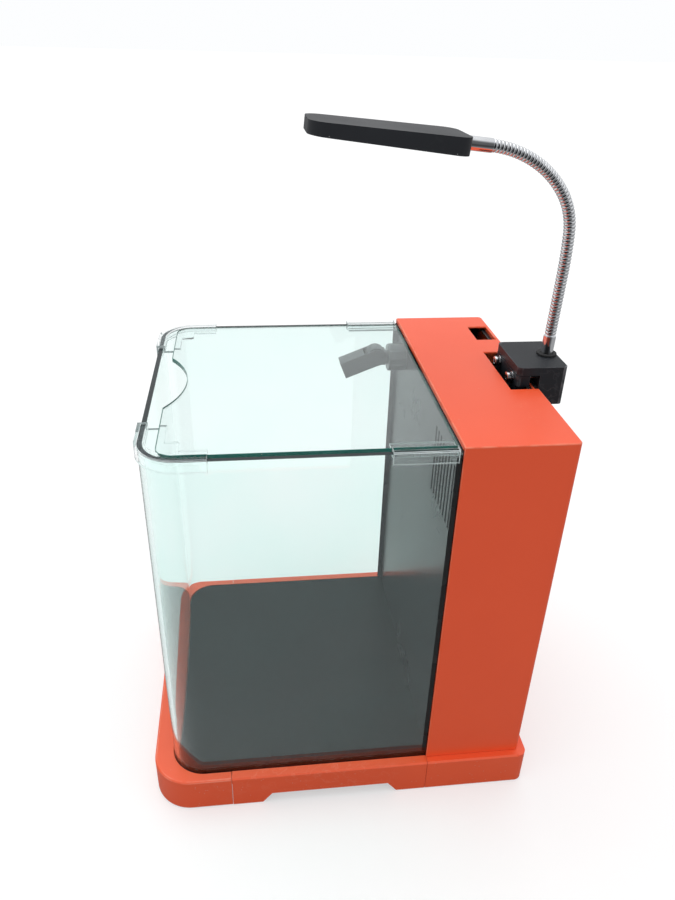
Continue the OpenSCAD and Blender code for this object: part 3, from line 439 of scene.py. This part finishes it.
class Finishes(Enum):
    """Every finish on the aquarium."""

    COVER = Moulded("cover_orange", "orange_plastic", (0.97, 0.110, 0.032), (0.93, 0.100, 0.029),
                    rough=0.34, spread=0.06, grain_depth=0.000012, worn=(1.0, 0.42, 0.28), dust=0.03)
    BASE = Moulded("base_orange", "base_plastic", (0.97, 0.120, 0.037), (0.91, 0.108, 0.033),
                   rough=0.38, spread=0.08, grain_depth=0.000015, worn=(1.0, 0.42, 0.3), dust=0.05)
    GLASS = Clear("float_glass", "clear_glass", (0.885, 0.995, 0.975), (0.30, 0.86, 0.78), 9.0,
                  smear=0.0, wave=0.000001)
    LID = Clear("lid_float_glass", "clear_glass", (0.95, 0.99, 0.985), (0.12, 0.80, 0.70), 14.0,
                smear=0.004, wave=0.000003)
    BRACKET = Clear("clear_bracket_plastic", "clear_plastic", (0.97, 0.99, 0.99),
                    (0.8, 0.95, 0.95), 3.0, ior=1.09, rough=0.0, smear=0.02)
    # Painted highlight: opaque pale grey on the brackets' rounded edges and end faces, for the light their clear
    # edges catch.
    BRACKET_EDGE = Moulded("bracket_edge_painted_highlight", "clear_plastic", (0.62, 0.69, 0.69), (0.50, 0.58, 0.58),
                           rough=0.12, spread=0.05, grain_depth=0.000004, worn=(0.9, 0.93, 0.93), dust=0.02)
    LENS = Clear("frosted_lens_plastic", "lens_plastic", (0.94, 0.96, 0.97),
                 (0.9, 0.95, 0.97), 4.0, ior=1.49, rough=0.28, smear=0.05)
    SHEET = Moulded("dark_acrylic_sheet", "dark_sheet", (0.016, 0.022, 0.025), (0.011, 0.016, 0.018),
                    shine=0.07, rough=0.24, spread=0.10, grain_depth=0.000001, worn=(0.25, 0.28, 0.29),
                    scuffs=0.4, scuff_share=0.08, dust=0.0)
    BLACK = Moulded("black_lamp_plastic", "black_plastic", (0.0160, 0.0185, 0.0235), (0.011, 0.013, 0.017),
                    shine=0.3, rough=0.46, grain_depth=0.00004, worn=(0.30, 0.31, 0.33), dust=0.02)
    PUMP = Moulded("black_pump_plastic", "black_plastic", (0.020, 0.021, 0.023), (0.013, 0.014, 0.016),
                   rough=0.5, grain_depth=0.00004, worn=(0.2, 0.2, 0.21))
    NOZZLE = Moulded("grey_nozzle_plastic", "grey_plastic", (0.050, 0.056, 0.060), (0.036, 0.041, 0.045),
                     rough=0.36, grain_depth=0.00002, worn=(0.3, 0.32, 0.33))
    RUBBER = Moulded("black_rubber", "rubber", (0.018, 0.018, 0.019), (0.012, 0.012, 0.013),
                     rough=0.7, grain=1800.0, grain_depth=0.00005, worn=(0.12, 0.12, 0.12), dust=0.15)
    SILICONE = Moulded("dark_silicone", "silicone", (0.018, 0.021, 0.028), (0.012, 0.014, 0.020),
                       rough=0.3, grain=600.0, grain_depth=0.00005, worn=(0.08, 0.09, 0.10))
    HOSE = Moulded("milky_hose", "hose_silicone", (0.42, 0.46, 0.46), (0.36, 0.40, 0.40),
                   rough=0.4, grain=900.0, grain_depth=0.00003)
    FOAM = Porous("black_foam", "foam", (0.030, 0.030, 0.033), (0.008, 0.008, 0.009), 900.0, 0.0003)
    SPONGE = Porous("filter_sponge", "sponge", (0.045, 0.055, 0.085), (0.006, 0.008, 0.014), 420.0, 0.0009)
    FLOSS = Porous("filter_floss", "floss", (0.86, 0.87, 0.85), (0.58, 0.60, 0.60), 1300.0, 0.0004)
    CERAMIC = Porous("sintered_ceramic", "ceramic", (0.70, 0.60, 0.44), (0.38, 0.31, 0.21), 1600.0, 0.00018)
    # Chrome and coil chrome carry a painted dark reflection down their middle.
    CHROME = Metal("polished_chrome", "chrome", (0.86, 0.87, 0.89), (0.62, 0.63, 0.66), rough=0.05,
                   mirror_dark=0.85)
    COIL = Metal("coil_chrome", "chrome", (0.80, 0.81, 0.83), (0.52, 0.53, 0.55), rough=0.10, lines=0.15,
                 mirror_dark=0.97, mirror_band=(0.055, 0.14))
    # Painted shade: the arm's core between the ribs is dark chrome, for the shade in its grooves.
    CORE = Metal("coil_groove_painted_shade", "chrome", (0.20, 0.21, 0.22), (0.08, 0.085, 0.09), rough=0.3)
    LID_EDGE = Moulded("lid_glass_edge", "clear_glass", (0.003, 0.128, 0.098), (0.002, 0.095, 0.076),
                       shine=0.3, rough=0.16, spread=0.05, grain_depth=0.000004,
                       worn=(0.1, 0.4, 0.35), dust=0.02)
    # Painted shade: the top edge of the tank glass is near-black, for the shade it sits in under the lid.
    RIM = Moulded("tank_glass_edge_painted_shade", "clear_glass", (0.020, 0.029, 0.031), (0.014, 0.022, 0.024),
                  shine=0.3, rough=0.18, spread=0.05, grain_depth=0.000004,
                  worn=(0.2, 0.26, 0.26), dust=0.02)
    STEEL = Metal("plated_steel", "steel", (0.60, 0.61, 0.62), (0.40, 0.40, 0.41), rough=0.28)
    IMPELLER = Moulded("red_impeller", "impeller_plastic", (0.45, 0.035, 0.025), (0.36, 0.028, 0.02),
                       rough=0.35)
    BOARD = Moulded("white_board", "board", (0.80, 0.82, 0.82), (0.72, 0.74, 0.75), rough=0.35,
                    worn=(0.5, 0.5, 0.5), rub=0.2)
    PHOSPHOR = Porous("led_phosphor", "led", (0.92, 0.74, 0.20), (0.80, 0.58, 0.10), 3000.0, 0.00002,
                      rough=0.5)


# ---------------------------------------------------------------- mesh making


def linked(name: str, data: bpy.types.ID) -> bpy.types.Object:
    """Make an object of some data and link it to the scene."""
    made = bpy.data.objects.new(name, data)
    bpy.context.scene.collection.objects.link(made)
    return made


@dataclass(frozen=True)
class Rounding:
    """One pass of edge rounding: its width in millimetres, its steps and which edges it takes."""

    width: float
    steps: int = 3
    picks: Callable[[bmesh.types.BMEdge], bool] | None = None


class Shaper:
    """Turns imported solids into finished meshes."""

    weld = 0.002 * MM
    flat = math.radians(0.4)
    crease = math.radians(30)
    sharp = math.radians(38)

    @classmethod
    def merged(cls, node: str) -> bmesh.types.BMesh:
        """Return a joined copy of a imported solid's mesh, with its flat faces whole."""
        source = frame["nodes"][node]
        mesh = bmesh.new()
        mesh.from_mesh(source.data)
        mesh.transform(source.matrix_world)
        bmesh.ops.remove_doubles(mesh, verts=mesh.verts, dist=cls.weld)
        bmesh.ops.dissolve_limit(mesh, angle_limit=cls.flat, verts=mesh.verts, edges=mesh.edges)
        return mesh

    @classmethod
    def round_edges(cls, mesh: bmesh.types.BMesh, rounding: Rounding) -> None:
        """Round the sharp edges that a pass takes, and mark the new faces as rim."""
        rim = mesh.faces.layers.float.get("rim") or mesh.faces.layers.float.new("rim")
        chosen = [
            e for e in mesh.edges
            if e.is_manifold and e.calc_face_angle(0.0) > cls.crease
            and (rounding.picks is None or rounding.picks(e))
        ]
        if not chosen:
            return
        made = bmesh.ops.bevel(
            mesh, geom=chosen, offset=rounding.width * MM, offset_type="OFFSET",
            segments=rounding.steps, profile=0.5, affect="EDGES", clamp_overlap=True,
            loop_slide=True,
        )
        for face in made["faces"]:
            face[rim] = 1.0

    @classmethod
    def finish_mesh(cls, mesh: bmesh.types.BMesh, name: str) -> bpy.types.Object:
        """Turn a mesh under construction into an object with smooth faces and even normals."""
        for face in mesh.faces:
            face.smooth = True
        for edge in mesh.edges:
            edge.smooth = not (edge.is_manifold and edge.calc_face_angle(0.0) > cls.sharp)
        data = bpy.data.meshes.new(name)
        mesh.to_mesh(data)
        mesh.free()
        made = linked(name, data)
        even = made.modifiers.new("even_normals", "WEIGHTED_NORMAL")
        even.keep_sharp = True
        return plain(made)

    @classmethod
    def soften(cls, node: str, name: str, *roundings: Rounding, slack: float = 0.0) -> bpy.types.Object:
        """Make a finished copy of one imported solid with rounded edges.

        Args:
            node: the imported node.
            name: the new piece's name.
            roundings: the rounding passes, in order.
            slack: how far its faces stand back from what they touch, in millimetres.

        Returns:
            The new object.
        """
        mesh = cls.merged(node)
        for rounding in roundings:
            cls.round_edges(mesh, rounding)
        if slack:
            mesh.normal_update()
            moves = [(v, v.normal * slack * MM) for v in mesh.verts]
            for vert, move in moves:
                vert.co -= move
        return cls.finish_mesh(mesh, name)


def plain(piece: bpy.types.Object) -> bpy.types.Object:
    """Replace an object by a plain mesh of how it evaluates, with no modifier left."""
    bpy.context.view_layer.update()
    graph = bpy.context.evaluated_depsgraph_get()
    shown = piece.evaluated_get(graph)
    data = bpy.data.meshes.new_from_object(shown, preserve_all_data_layers=True, depsgraph=graph)
    name = piece.name
    piece.name = name + "_source"
    made = linked(name, data)
    bpy.data.objects.remove(piece)
    return made


def trim(piece: bpy.types.Object, finish: Finishes,
         picks: Callable[[bpy.types.MeshPolygon], bool]) -> bpy.types.Object:
    """Give some faces of a dressed piece a second finish.

    Args:
        piece: the object.
        finish: the second finish.
        picks: tells whether a face takes it.

    Returns:
        The same object.
    """
    piece.data.materials.append(finish.value.material())
    for face in piece.data.polygons:
        if picks(face):
            face.material_index = 1
    return piece


def place(piece: bpy.types.Object, finish: Finishes, body: str, *nodes: str) -> bpy.types.Object:
    """Dress a piece that has no material yet and hand it to the frame.

    Args:
        piece: the object.
        finish: what it is made of.
        body: the body it moves with.
        nodes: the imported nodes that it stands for.

    Returns:
        The same object.
    """
    if not piece.data.materials:
        piece.data.materials.append(finish.value.material())
    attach(piece, body)
    if nodes:
        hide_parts(*nodes)
    LOG.info("%s: %s, on %s", piece.name, finish.value.name, body)
    return piece


class SubAssembly:
    """A group of pieces that are built and dressed together."""

    def build(self) -> list[bpy.types.Object]:
        """Build every piece of the group."""
        raise NotImplementedError

    def soft(self, node: str, name: str, finish: Finishes, *roundings: Rounding,
             slack: float = 0.0) -> bpy.types.Object:
        """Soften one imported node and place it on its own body."""
        made = Shaper.soften(node, name, *roundings, slack=slack)
        return place(made, finish, BODY_OF[node], node)


# ---------------------------------------------------------------- tank and base


@dataclass
class TankBase(SubAssembly):
    """The plastic base, its screws, feet and foam mat."""

    edge: float = 0.7
    rubber_edge: float = 0.5

    def build(self) -> list[bpy.types.Object]:
        """Build the three mouldings and what is under them."""
        skin = Rounding(self.edge, 3, self.outer_edge)
        mat = self.soft("levelling_mat", "foam_mat", Finishes.FOAM, Rounding(0.3, 2))
        return [
            self.soft("base_tray", "base_tray_moulding", Finishes.BASE, skin),
            self.soft("front_skirt", "front_skirt_moulding", Finishes.BASE, skin),
            self.soft("rear_skirt", "rear_skirt_moulding", Finishes.BASE, skin),
            self.soft("skirt_screws", "skirt_screw_set", Finishes.STEEL, Rounding(0.15, 2)),
            self.soft("rubber_feet", "rubber_foot_set", Finishes.RUBBER, Rounding(self.rubber_edge, 3)),
            mat,
        ]

    @staticmethod
    def outer_edge(edge: bmesh.types.BMEdge) -> bool:
        """Tell whether an edge is long and convex enough to round."""
        return edge.is_convex and edge.calc_length() > 1.5 * MM


@dataclass
class Glasswork(SubAssembly):
    """The bent tank glass, the rear and bottom glass, the floor sheet and the silicone."""

    arris: float = 0.3
    arris_depth = 0.6 * MM

    def build(self) -> list[bpy.types.Object]:
        """Build every pane and bead."""
        ground = Rounding(self.arris, 2)
        return [
            trim(self.soft("tank_glass", "bent_tank_glass", Finishes.GLASS, ground),
                 Finishes.RIM, self.ground_edge),
            trim(self.soft("rear_glass", "rear_pane", Finishes.GLASS, ground),
                 Finishes.RIM, self.ground_edge),
            self.soft("bottom_glass", "bottom_pane", Finishes.GLASS, ground),
            self.soft("floor_sheet", "dark_floor_sheet", Finishes.SHEET, Rounding(0.15, 2)),
            self.soft("silicone_beads", "silicone_bead_set", Finishes.SILICONE),
        ]

    @classmethod
    def ground_edge(cls, face: bpy.types.MeshPolygon) -> bool:
        """Tell whether a face belongs to the ground top edge of a pane, which gets the painted shade."""
        return face.normal.z > 0.3 and face.center.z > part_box("tank_glass")[1][2] - cls.arris_depth


# ---------------------------------------------------------------- filter chamber


@dataclass
class FilterChamber(SubAssembly):
    """The divider, the partitions and the basket with its media."""

    edge: float = 0.25

    def build(self) -> list[bpy.types.Object]:
        """Build the sheets, the basket and the media."""
        cut = Rounding(self.edge, 2)
        sponge = self.soft("coarse_sponge", "coarse_sponge_block", Finishes.SPONGE, Rounding(1.2, 3))
        floss = self.soft("floss_pad", "floss_wad", Finishes.FLOSS, Rounding(2.4, 4))
        return [
            self.soft("filter_divider", "filter_divider_sheet", Finishes.SHEET, cut),
            self.soft("media_partition", "media_partition_sheet", Finishes.SHEET, cut),
            self.soft("pump_partition", "pump_partition_sheet", Finishes.SHEET, cut),
            self.soft("media_basket", "media_basket_moulding", Finishes.PUMP, cut),
            sponge,
            self.soft("ceramic_rings", "ceramic_ring_set", Finishes.CERAMIC, Rounding(0.5, 2)),
            floss,
        ]


@dataclass
class PumpSet(SubAssembly):
    """The pump with its impeller, hose and outlet."""

    def build(self) -> list[bpy.types.Object]:
        """Build the pump, hose, elbow, collar, knee and spout."""
        moulded = Rounding(0.5, 2, TankBase.outer_edge)
        fine = Rounding(0.25, 2)
        return [
            self.soft("pump_body", "pump_housing", Finishes.PUMP, Rounding(1.2, 3, TankBase.outer_edge)),
            self.soft("pump_grille", "pump_intake_grille", Finishes.PUMP, fine),
            self.soft("pump_cups", "suction_cup_set", Finishes.RUBBER, fine),
            self.soft("impeller_shaft", "ceramic_shaft", Finishes.CERAMIC, Rounding(0.15, 2)),
            self.soft("impeller", "pump_impeller", Finishes.IMPELLER, Rounding(0.15, 2)),
            self.soft("pump_hose", "riser_hose", Finishes.HOSE, Rounding(0.3, 2)),
            self.soft("outlet_elbow", "outlet_elbow_moulding", Finishes.NOZZLE, fine),
            self.soft("outlet_collar", "outlet_collar_ring", Finishes.NOZZLE, moulded),
            self.soft("nozzle_knee", "nozzle_knee_moulding", Finishes.NOZZLE, fine),
            self.soft("nozzle_spout", "nozzle_spout_moulding", Finishes.NOZZLE, moulded),
        ]


# ---------------------------------------------------------------- cover and lid


@dataclass
class CoverAndLid(SubAssembly):
    """The rear cover, the lid glass and its clear brackets."""

    cover_edge: float = 0.8
    edge: float = 0.3
    bracket_slack: float = 0.04

    def build(self) -> list[bpy.types.Object]:
        """Build the cover, the lid and four brackets."""
        fine = Rounding(self.edge, 2)
        pieces = [
            self.soft("rear_cover", "rear_cover_shell", Finishes.COVER,
                      Rounding(self.cover_edge, 4, self.cover_rim), fine),
            trim(self.soft("lid_glass", "lid_pane", Finishes.LID, fine),
                 Finishes.LID_EDGE, self.cut_edge),
        ]
        for name in ("corner_clip_left", "corner_clip_right", "rear_clip_left", "rear_clip_right"):
            title = name.replace("clip", "bracket")
            bracket = self.soft(name, title, Finishes.BRACKET, fine, slack=self.bracket_slack)
            # The rounded edges and end faces of each bracket get the painted highlight.
            pieces.append(trim(bracket, Finishes.BRACKET_EDGE, self.bright_edge(bracket)))
        return pieces

    @staticmethod
    def cut_edge(face: bpy.types.MeshPolygon) -> bool:
        """Tell whether a face of the lid is on its cut edge rather than on its top or bottom."""
        return abs(face.normal.z) < 0.93

    @staticmethod
    def bright_edge(bracket: bpy.types.Object) -> Callable[[bpy.types.MeshPolygon], bool]:
        """Return the test for a bracket's rounded edges and its small end faces, which take the painted highlight.
        """
        rim = bracket.data.attributes["rim"].data
        spots = [vertex.co for vertex in bracket.data.vertices]
        inner = min(abs(spot.x) for spot in spots)
        front, back = min(spot.y for spot in spots), max(spot.y for spot in spots)
        near, square, small = 0.1 * MM, 0.999, 45 * MM * MM

        def picks(face: bpy.types.MeshPolygon) -> bool:
            """Tell whether a face takes the painted highlight."""
            way, at = face.normal, face.center
            end = abs(way.x) > square and abs(abs(at.x) - inner) < near
            end = end or (way.y > square and abs(at.y - back) < near)
            end = end or (way.y < -square and abs(at.y - front) < near and face.area < small)
            return end or rim[face.index].value > 0.5

        return picks

    @staticmethod
    def cover_rim(edge: bmesh.types.BMEdge) -> bool:
        """Tell whether an edge runs round the top face of the cover."""
        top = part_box("rear_cover")[1][2] - 0.2 * MM
        return edge.is_convex and all(v.co.z > top for v in edge.verts)


# ---------------------------------------------------------------- lamp


@dataclass
class LampClamp(SubAssembly):
    """The clamp on the rear rim, with its jaw, pads, screws and sleeve."""

    corner: float = 3.2
    edge: float = 0.7

    def build(self) -> list[bpy.types.Object]:
        """Build the clamp and what is in it."""
        corners = Rounding(self.corner, 5, self.upright)
        edges = Rounding(self.edge, 3, TankBase.outer_edge)
        fine = Rounding(0.2, 2)
        return [
            self.soft("clamp_body", "clamp_housing", Finishes.BLACK, corners, edges),
            self.soft("clamp_jaw", "clamp_front_jaw", Finishes.BLACK, corners, edges),
            self.soft("body_pad", "clamp_rear_pad", Finishes.RUBBER, fine),
            self.soft("jaw_pad", "clamp_front_pad", Finishes.RUBBER, fine),
            self.soft("cord_gland", "clamp_cord_gland", Finishes.RUBBER, fine),
            self.soft("arm_grommet", "arm_base_grommet", Finishes.RUBBER, Rounding(0.5, 3)),
            self.soft("lower_ferrule", "lower_sleeve", Finishes.CHROME, Rounding(0.25, 2)),
            self.soft("jaw_washers", "washer_pair", Finishes.CHROME, Rounding(0.1, 2)),
            self.soft("clamp_screw_left", "left_clamp_screw", Finishes.CHROME, Rounding(0.3, 2)),
            self.soft("clamp_screw_right", "right_clamp_screw", Finishes.CHROME, Rounding(0.3, 2)),
        ]

    @staticmethod
    def upright(edge: bmesh.types.BMEdge) -> bool:
        """Tell whether an edge is an outer upright corner at the front or back of the clamp."""
        near, same, short = 0.3 * MM, 0.01 * MM, 2 * MM
        a, b = (v.co for v in edge.verts)
        high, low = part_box("clamp_body")[1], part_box("clamp_body")[0]
        side = abs(abs(a.x) - high[0]) < near
        ends = min(abs(a.y - high[1]), abs(a.y - low[1])) < near
        straight = abs(a.x - b.x) < same and abs(a.y - b.y) < same
        return side and ends and straight and abs(a.z - b.z) > short


@dataclass
class FlexibleArm(SubAssembly):
    """The ribbed chrome arm, as five lengths along a bent middle line."""

    lengths: tuple[float, ...] = (39.0, 26.0, 26.0, 22.0, 32.0)
    turns: tuple[float, ...] = (0.0, 5.0, 33.0, 21.0, 27.0)
    lean: float = 1.5
    radius: float = 3.65
    ribs: tuple[int, ...] = (9, 14, 13, 10, 20)
    rib_height: float = 0.58
    rib_half_share: float = 0.485
    core_gap: float = 0.1
    steps_round: int = 28
    steps_rib: int = 10
    hinge_reach: float = 5.0
    foot_reach: float = 9.0

    def build(self) -> list[bpy.types.Object]:
        """Build the arm's lengths one after another along its middle line."""
        pitch = sum(self.lengths) / sum(self.ribs)
        bodies = ("clamp", "arm_1", "arm_2", "arm_3", "arm_4", "head")
        tree = self.coil_tree()
        start, pieces = 0.0, []
        for index, count in enumerate(self.ribs):
            points = [self.point(start + (k + 0.5) * pitch) for k in range(count)]
            piece = self.coil(f"arm_coil_{index + 1}", points, pitch, tree)
            place(piece, Finishes.COIL, bodies[index], f"arm_link_{index + 1}")
            piece.parent = None
            hinge = sum(self.lengths[:index])
            first = self.point(hinge - (self.hinge_reach if index else 0.0))
            last = self.point(hinge + (self.hinge_reach if index else self.foot_reach))
            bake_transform(piece)
            pieces.append(piece)
            start += count * pitch
        return pieces

    def point(self, distance: float) -> Vector:
        """Return the place on the arm's middle line at a distance in millimetres from its foot."""
        foot = Vector(JOINTS["arm_side_bend"]["pos_m"])
        angle = math.radians(-self.lean)
        y, z = foot.y, foot.z
        left = distance
        for number, (length, turn) in enumerate(zip(self.lengths, self.turns)):
            last = number == len(self.lengths) - 1
            run = left if last else min(left, length)
            bend = math.radians(turn) * run / length
            if abs(bend) < TINY:
                side, along = 0.0, run
            else:
                radius = length / math.radians(turn)
                side, along = -radius * (1 - math.cos(bend)), radius * math.sin(bend)
            y += (side * math.cos(angle) - along * math.sin(angle)) * MM
            z += (side * math.sin(angle) + along * math.cos(angle)) * MM
            angle += bend
            left -= run
            if left <= TINY:
                break
        return Vector((0.0, y, z))

    def coil(self, name: str, points: list[Vector], pitch: float,
             tree: bpy.types.NodeTree) -> bpy.types.Object:
        """Make one ribbed length.

        Args:
            name: the piece's name.
            points: the middles of its ribs.
            pitch: the distance between ribs, in millimetres.
            tree: the Geometry Nodes tree that makes the ribs.

        Returns:
            The length as a plain mesh.
        """
        line = bpy.data.curves.new(name, "CURVE")
        line.dimensions = "3D"
        spline = line.splines.new("POLY")
        spline.points.add(len(points) - 1)
        for spot, point in zip(spline.points, points):
            spot.co = (*point, 1.0)
        piece = linked(name, line)
        maker = piece.modifiers.new("coil", "NODES")
        maker.node_group = tree
        wanted = {
            "Rib Count": len(points),
            "Arm Radius": self.radius * MM,
            "Rib Height": self.rib_height * MM,
            "Rib Pitch": pitch * MM,
        }
        for item in tree.interface.items_tree:
            if item.item_type == "SOCKET" and item.name in wanted:
                maker[item.identifier] = wanted[item.name]
        return plain(piece)

    def coil_tree(self) -> bpy.types.NodeTree:
        """Build the tree that threads ribs and a core on a line."""
        tree = bpy.data.node_groups.new("coil_maker", "GeometryNodeTree")
        face = tree.interface
        face.new_socket("Geometry", in_out="INPUT", socket_type="NodeSocketGeometry")
        face.new_socket("Rib Count", in_out="INPUT", socket_type="NodeSocketInt")
        for name in ("Arm Radius", "Rib Height", "Rib Pitch"):
            face.new_socket(name, in_out="INPUT", socket_type="NodeSocketFloat")
        face.new_socket("Geometry", in_out="OUTPUT", socket_type="NodeSocketGeometry")
        graph = Graph(tree)
        given = graph.add("NodeGroupInput").outputs
        inner = graph.maths("SUBTRACT", given["Arm Radius"], given["Rib Height"])
        ring = graph.add("GeometryNodeCurvePrimitiveCircle",
                         {"Resolution": self.steps_round, "Radius": inner}, mode="RADIUS")
        unit = graph.add("GeometryNodeCurvePrimitiveCircle",
                         {"Resolution": self.steps_rib, "Radius": 1.0}, mode="RADIUS")
        half = graph.maths("MULTIPLY", given["Rib Pitch"], self.rib_half_share)
        size = graph.add("ShaderNodeCombineXYZ", {"X": given["Rib Height"], "Y": half, "Z": 1.0})
        section = graph.add("GeometryNodeTransform",
                            {"Geometry": unit.outputs[0], "Scale": size.outputs[0]})
        rib = graph.add("GeometryNodeCurveToMesh",
                        {"Curve": ring.outputs[0], "Profile Curve": section.outputs[0]})
        spots = graph.add("GeometryNodeCurveToPoints",
                          {"Curve": given["Geometry"], "Count": given["Rib Count"]}, mode="COUNT")
        ribs = graph.add("GeometryNodeInstanceOnPoints",
                         {"Points": spots.outputs["Points"], "Instance": rib.outputs[0],
                          "Rotation": spots.outputs["Rotation"]})
        thin = graph.maths("SUBTRACT", inner, self.core_gap * MM)
        tube = graph.add("GeometryNodeCurvePrimitiveCircle",
                         {"Resolution": self.steps_round, "Radius": thin}, mode="RADIUS")
        core = graph.add("GeometryNodeCurveToMesh",
                         {"Curve": given["Geometry"], "Profile Curve": tube.outputs[0],
                          "Fill Caps": True})
        joined = graph.add("GeometryNodeJoinGeometry")
        # The core takes the painted groove shade, the ribs take the coil chrome.
        for shape, finish in ((core, Finishes.CORE), (ribs, Finishes.COIL)):
            real = graph.add("GeometryNodeRealizeInstances", {0: shape.outputs[0]})
            smooth = graph.add("GeometryNodeSetShadeSmooth", {0: real.outputs[0]})
            dressed = graph.add("GeometryNodeSetMaterial",
                                {"Geometry": smooth.outputs[0], "Material": finish.value.material()})
            tree.links.new(dressed.outputs[0], joined.inputs[0])
        graph.add("NodeGroupOutput", {0: joined.outputs[0]})
        return tree


@dataclass
class LampHead(SubAssembly):
    """The flat lamp head with its board, diodes, lens and screws."""

    edge: float = 0.9

    def build(self) -> list[bpy.types.Object]:
        """Build the head's pieces."""
        return [
            self.soft("head_shell", "lamp_head_shell", Finishes.BLACK,
                      Rounding(self.edge, 4, self.outline), Rounding(0.15, 2)),
            self.soft("upper_ferrule", "upper_sleeve", Finishes.CHROME, Rounding(0.25, 2)),
            self.soft("led_board", "diode_board", Finishes.BOARD, Rounding(0.1, 2)),
            self.soft("led_chips", "diode_set", Finishes.PHOSPHOR, Rounding(0.2, 2)),
            self.soft("lens_cover", "lamp_lens", Finishes.LENS, Rounding(0.2, 2)),
            self.soft("head_screws", "head_screw_set", Finishes.STEEL, Rounding(0.15, 2)),
        ]

    @staticmethod
    def outline(edge: bmesh.types.BMEdge) -> bool:
        """Tell whether an edge is on the outside of the head and long enough to round."""
        return edge.is_convex and edge.calc_length() > 1.2 * MM


# ---------------------------------------------------------------- studio


@dataclass
class Studio:
    """The floor, the soft light and the camera."""

    camera_at: tuple[float, float, float] = (0.44036, -0.06324, 0.47555)
    azimuth: float = 82.521
    pitch: float = 29.8
    roll: float = 1.696
    lens: float = 29.82
    floor_size: float = 14.0
    floor_bounce: float = 0.34
    floor_tone: float = 0.55
    floor_glow: float = 0.47
    air_tint: RGB = (0.98, 0.99, 1.0)
    air_low: float = 0.72
    air_high: float = 0.86
    air_high_from: float = 0.6
    sun_from: tuple[float, float, float] = (-0.35, -0.25, 1.0)
    sun_power: float = 0.95
    sun_spread: float = 70.0

    def build(self) -> None:
        """Build the floor, the lights and the camera."""
        self.floor()
        self.world()
        self.sun()
        self.camera()

    @staticmethod
    def looked_at(graph: Graph) -> Socket:
        """Return 1 where the camera looks straight at something or at it through glass, else 0."""
        path = graph.add("ShaderNodeLightPath").outputs
        return graph.maths("MAXIMUM", path["Is Camera Ray"], path["Is Transmission Ray"])

    def floor(self) -> None:
        """Build the floor, which looks white and throws back less light than it shows."""
        mesh = bmesh.new()
        bmesh.ops.create_grid(mesh, x_segments=8, y_segments=8, size=self.floor_size)
        data = bpy.data.meshes.new("studio_floor")
        mesh.to_mesh(data)
        mesh.free()
        piece = linked("studio_floor", data)
        made = bpy.data.materials.new("pale_floor")
        made.use_nodes = True
        shader = made.node_tree.nodes["Principled BSDF"]
        shader.inputs["Roughness"].default_value = 0.9
        shader.inputs["Specular IOR Level"].default_value = 0.0
        graph = Graph(made.node_tree)
        direct = self.looked_at(graph)
        tone = graph.blend(direct, (self.floor_bounce,) * 3, (self.floor_tone,) * 3)
        made.node_tree.links.new(tone, shader.inputs["Base Color"])
        glow = graph.maths("MULTIPLY", direct, self.floor_glow)
        shader.inputs["Emission Color"].default_value = (*WHITE, 1.0)
        made.node_tree.links.new(glow, shader.inputs["Emission Strength"])
        data.materials.append(made)

    def world(self) -> None:
        """Build the surrounding light: brighter above than at the sides, and white to look at."""
        scene = bpy.context.scene
        scene.world = bpy.data.worlds.new("studio_air")
        scene.world.use_nodes = True
        scene.world.node_tree.nodes.clear()
        graph = Graph(scene.world.node_tree)
        way = graph.add("ShaderNodeTexCoord").outputs["Generated"]
        up = graph.add("ShaderNodeSeparateXYZ", {0: way}).outputs[2]
        level = graph.add("ShaderNodeMapRange",
                          {"Value": up, "From Min": 0.0, "From Max": self.air_high_from,
                           "To Min": self.air_low, "To Max": self.air_high}).outputs[0]
        level = graph.maths("MAXIMUM", level, self.looked_at(graph))
        air = graph.add("ShaderNodeBackground", {"Color": (*self.air_tint, 1.0), "Strength": level})
        graph.add("ShaderNodeOutputWorld", {"Surface": air.outputs[0]})

    def sun(self) -> None:
        """Add the one broad even light, from above and a little from the left and the front."""
        light = bpy.data.lights.new("overhead_softbox", "SUN")
        light.energy, light.angle = self.sun_power, math.radians(self.sun_spread)
        holder = linked("overhead_softbox", light)
        holder.location = Vector(self.sun_from)
        holder.rotation_mode = "QUATERNION"
        holder.rotation_quaternion = (-Vector(self.sun_from)).to_track_quat("-Z", "Y")

    def camera(self) -> None:
        """Add the camera, above and to the side of the tank."""
        scene = bpy.context.scene
        lens = bpy.data.cameras.new("camera")
        lens.lens, lens.sensor_width, lens.sensor_fit = self.lens, 36.0, "AUTO"
        lens.clip_start, lens.clip_end = 0.02, 60.0
        holder = linked("camera", lens)
        turn, tip, roll = (math.radians(v) for v in (self.azimuth, self.pitch, self.roll))
        level = math.cos(tip)
        ahead = Vector((-math.sin(turn) * level, math.cos(turn) * level, -math.sin(tip)))
        right = ahead.cross(Vector((0.0, 0.0, 1.0))).normalized()
        up = right.cross(ahead)
        side = right * math.cos(roll) + up * math.sin(roll)
        top = up * math.cos(roll) - right * math.sin(roll)
        basis = Matrix((side, top, -ahead)).transposed()
        holder.matrix_world = Matrix.Translation(self.camera_at) @ basis.to_4x4()
        scene.camera = holder
        scene.view_settings.view_transform = "Standard"


def main() -> None:
    """Build every sub-assembly in order and report its pieces."""
    logging.basicConfig(level=logging.INFO, format="%(name)s %(message)s")
    Studio().build()
    groups: Iterable[SubAssembly] = (
        TankBase(), Glasswork(), FilterChamber(), PumpSet(), CoverAndLid(),
        LampClamp(), FlexibleArm(), LampHead(),
    )
    for group in groups:
        pieces = group.build()
        LOG.info("%s: %d pieces", type(group).__name__, len(pieces))


if __name__ == "__main__":
    main()
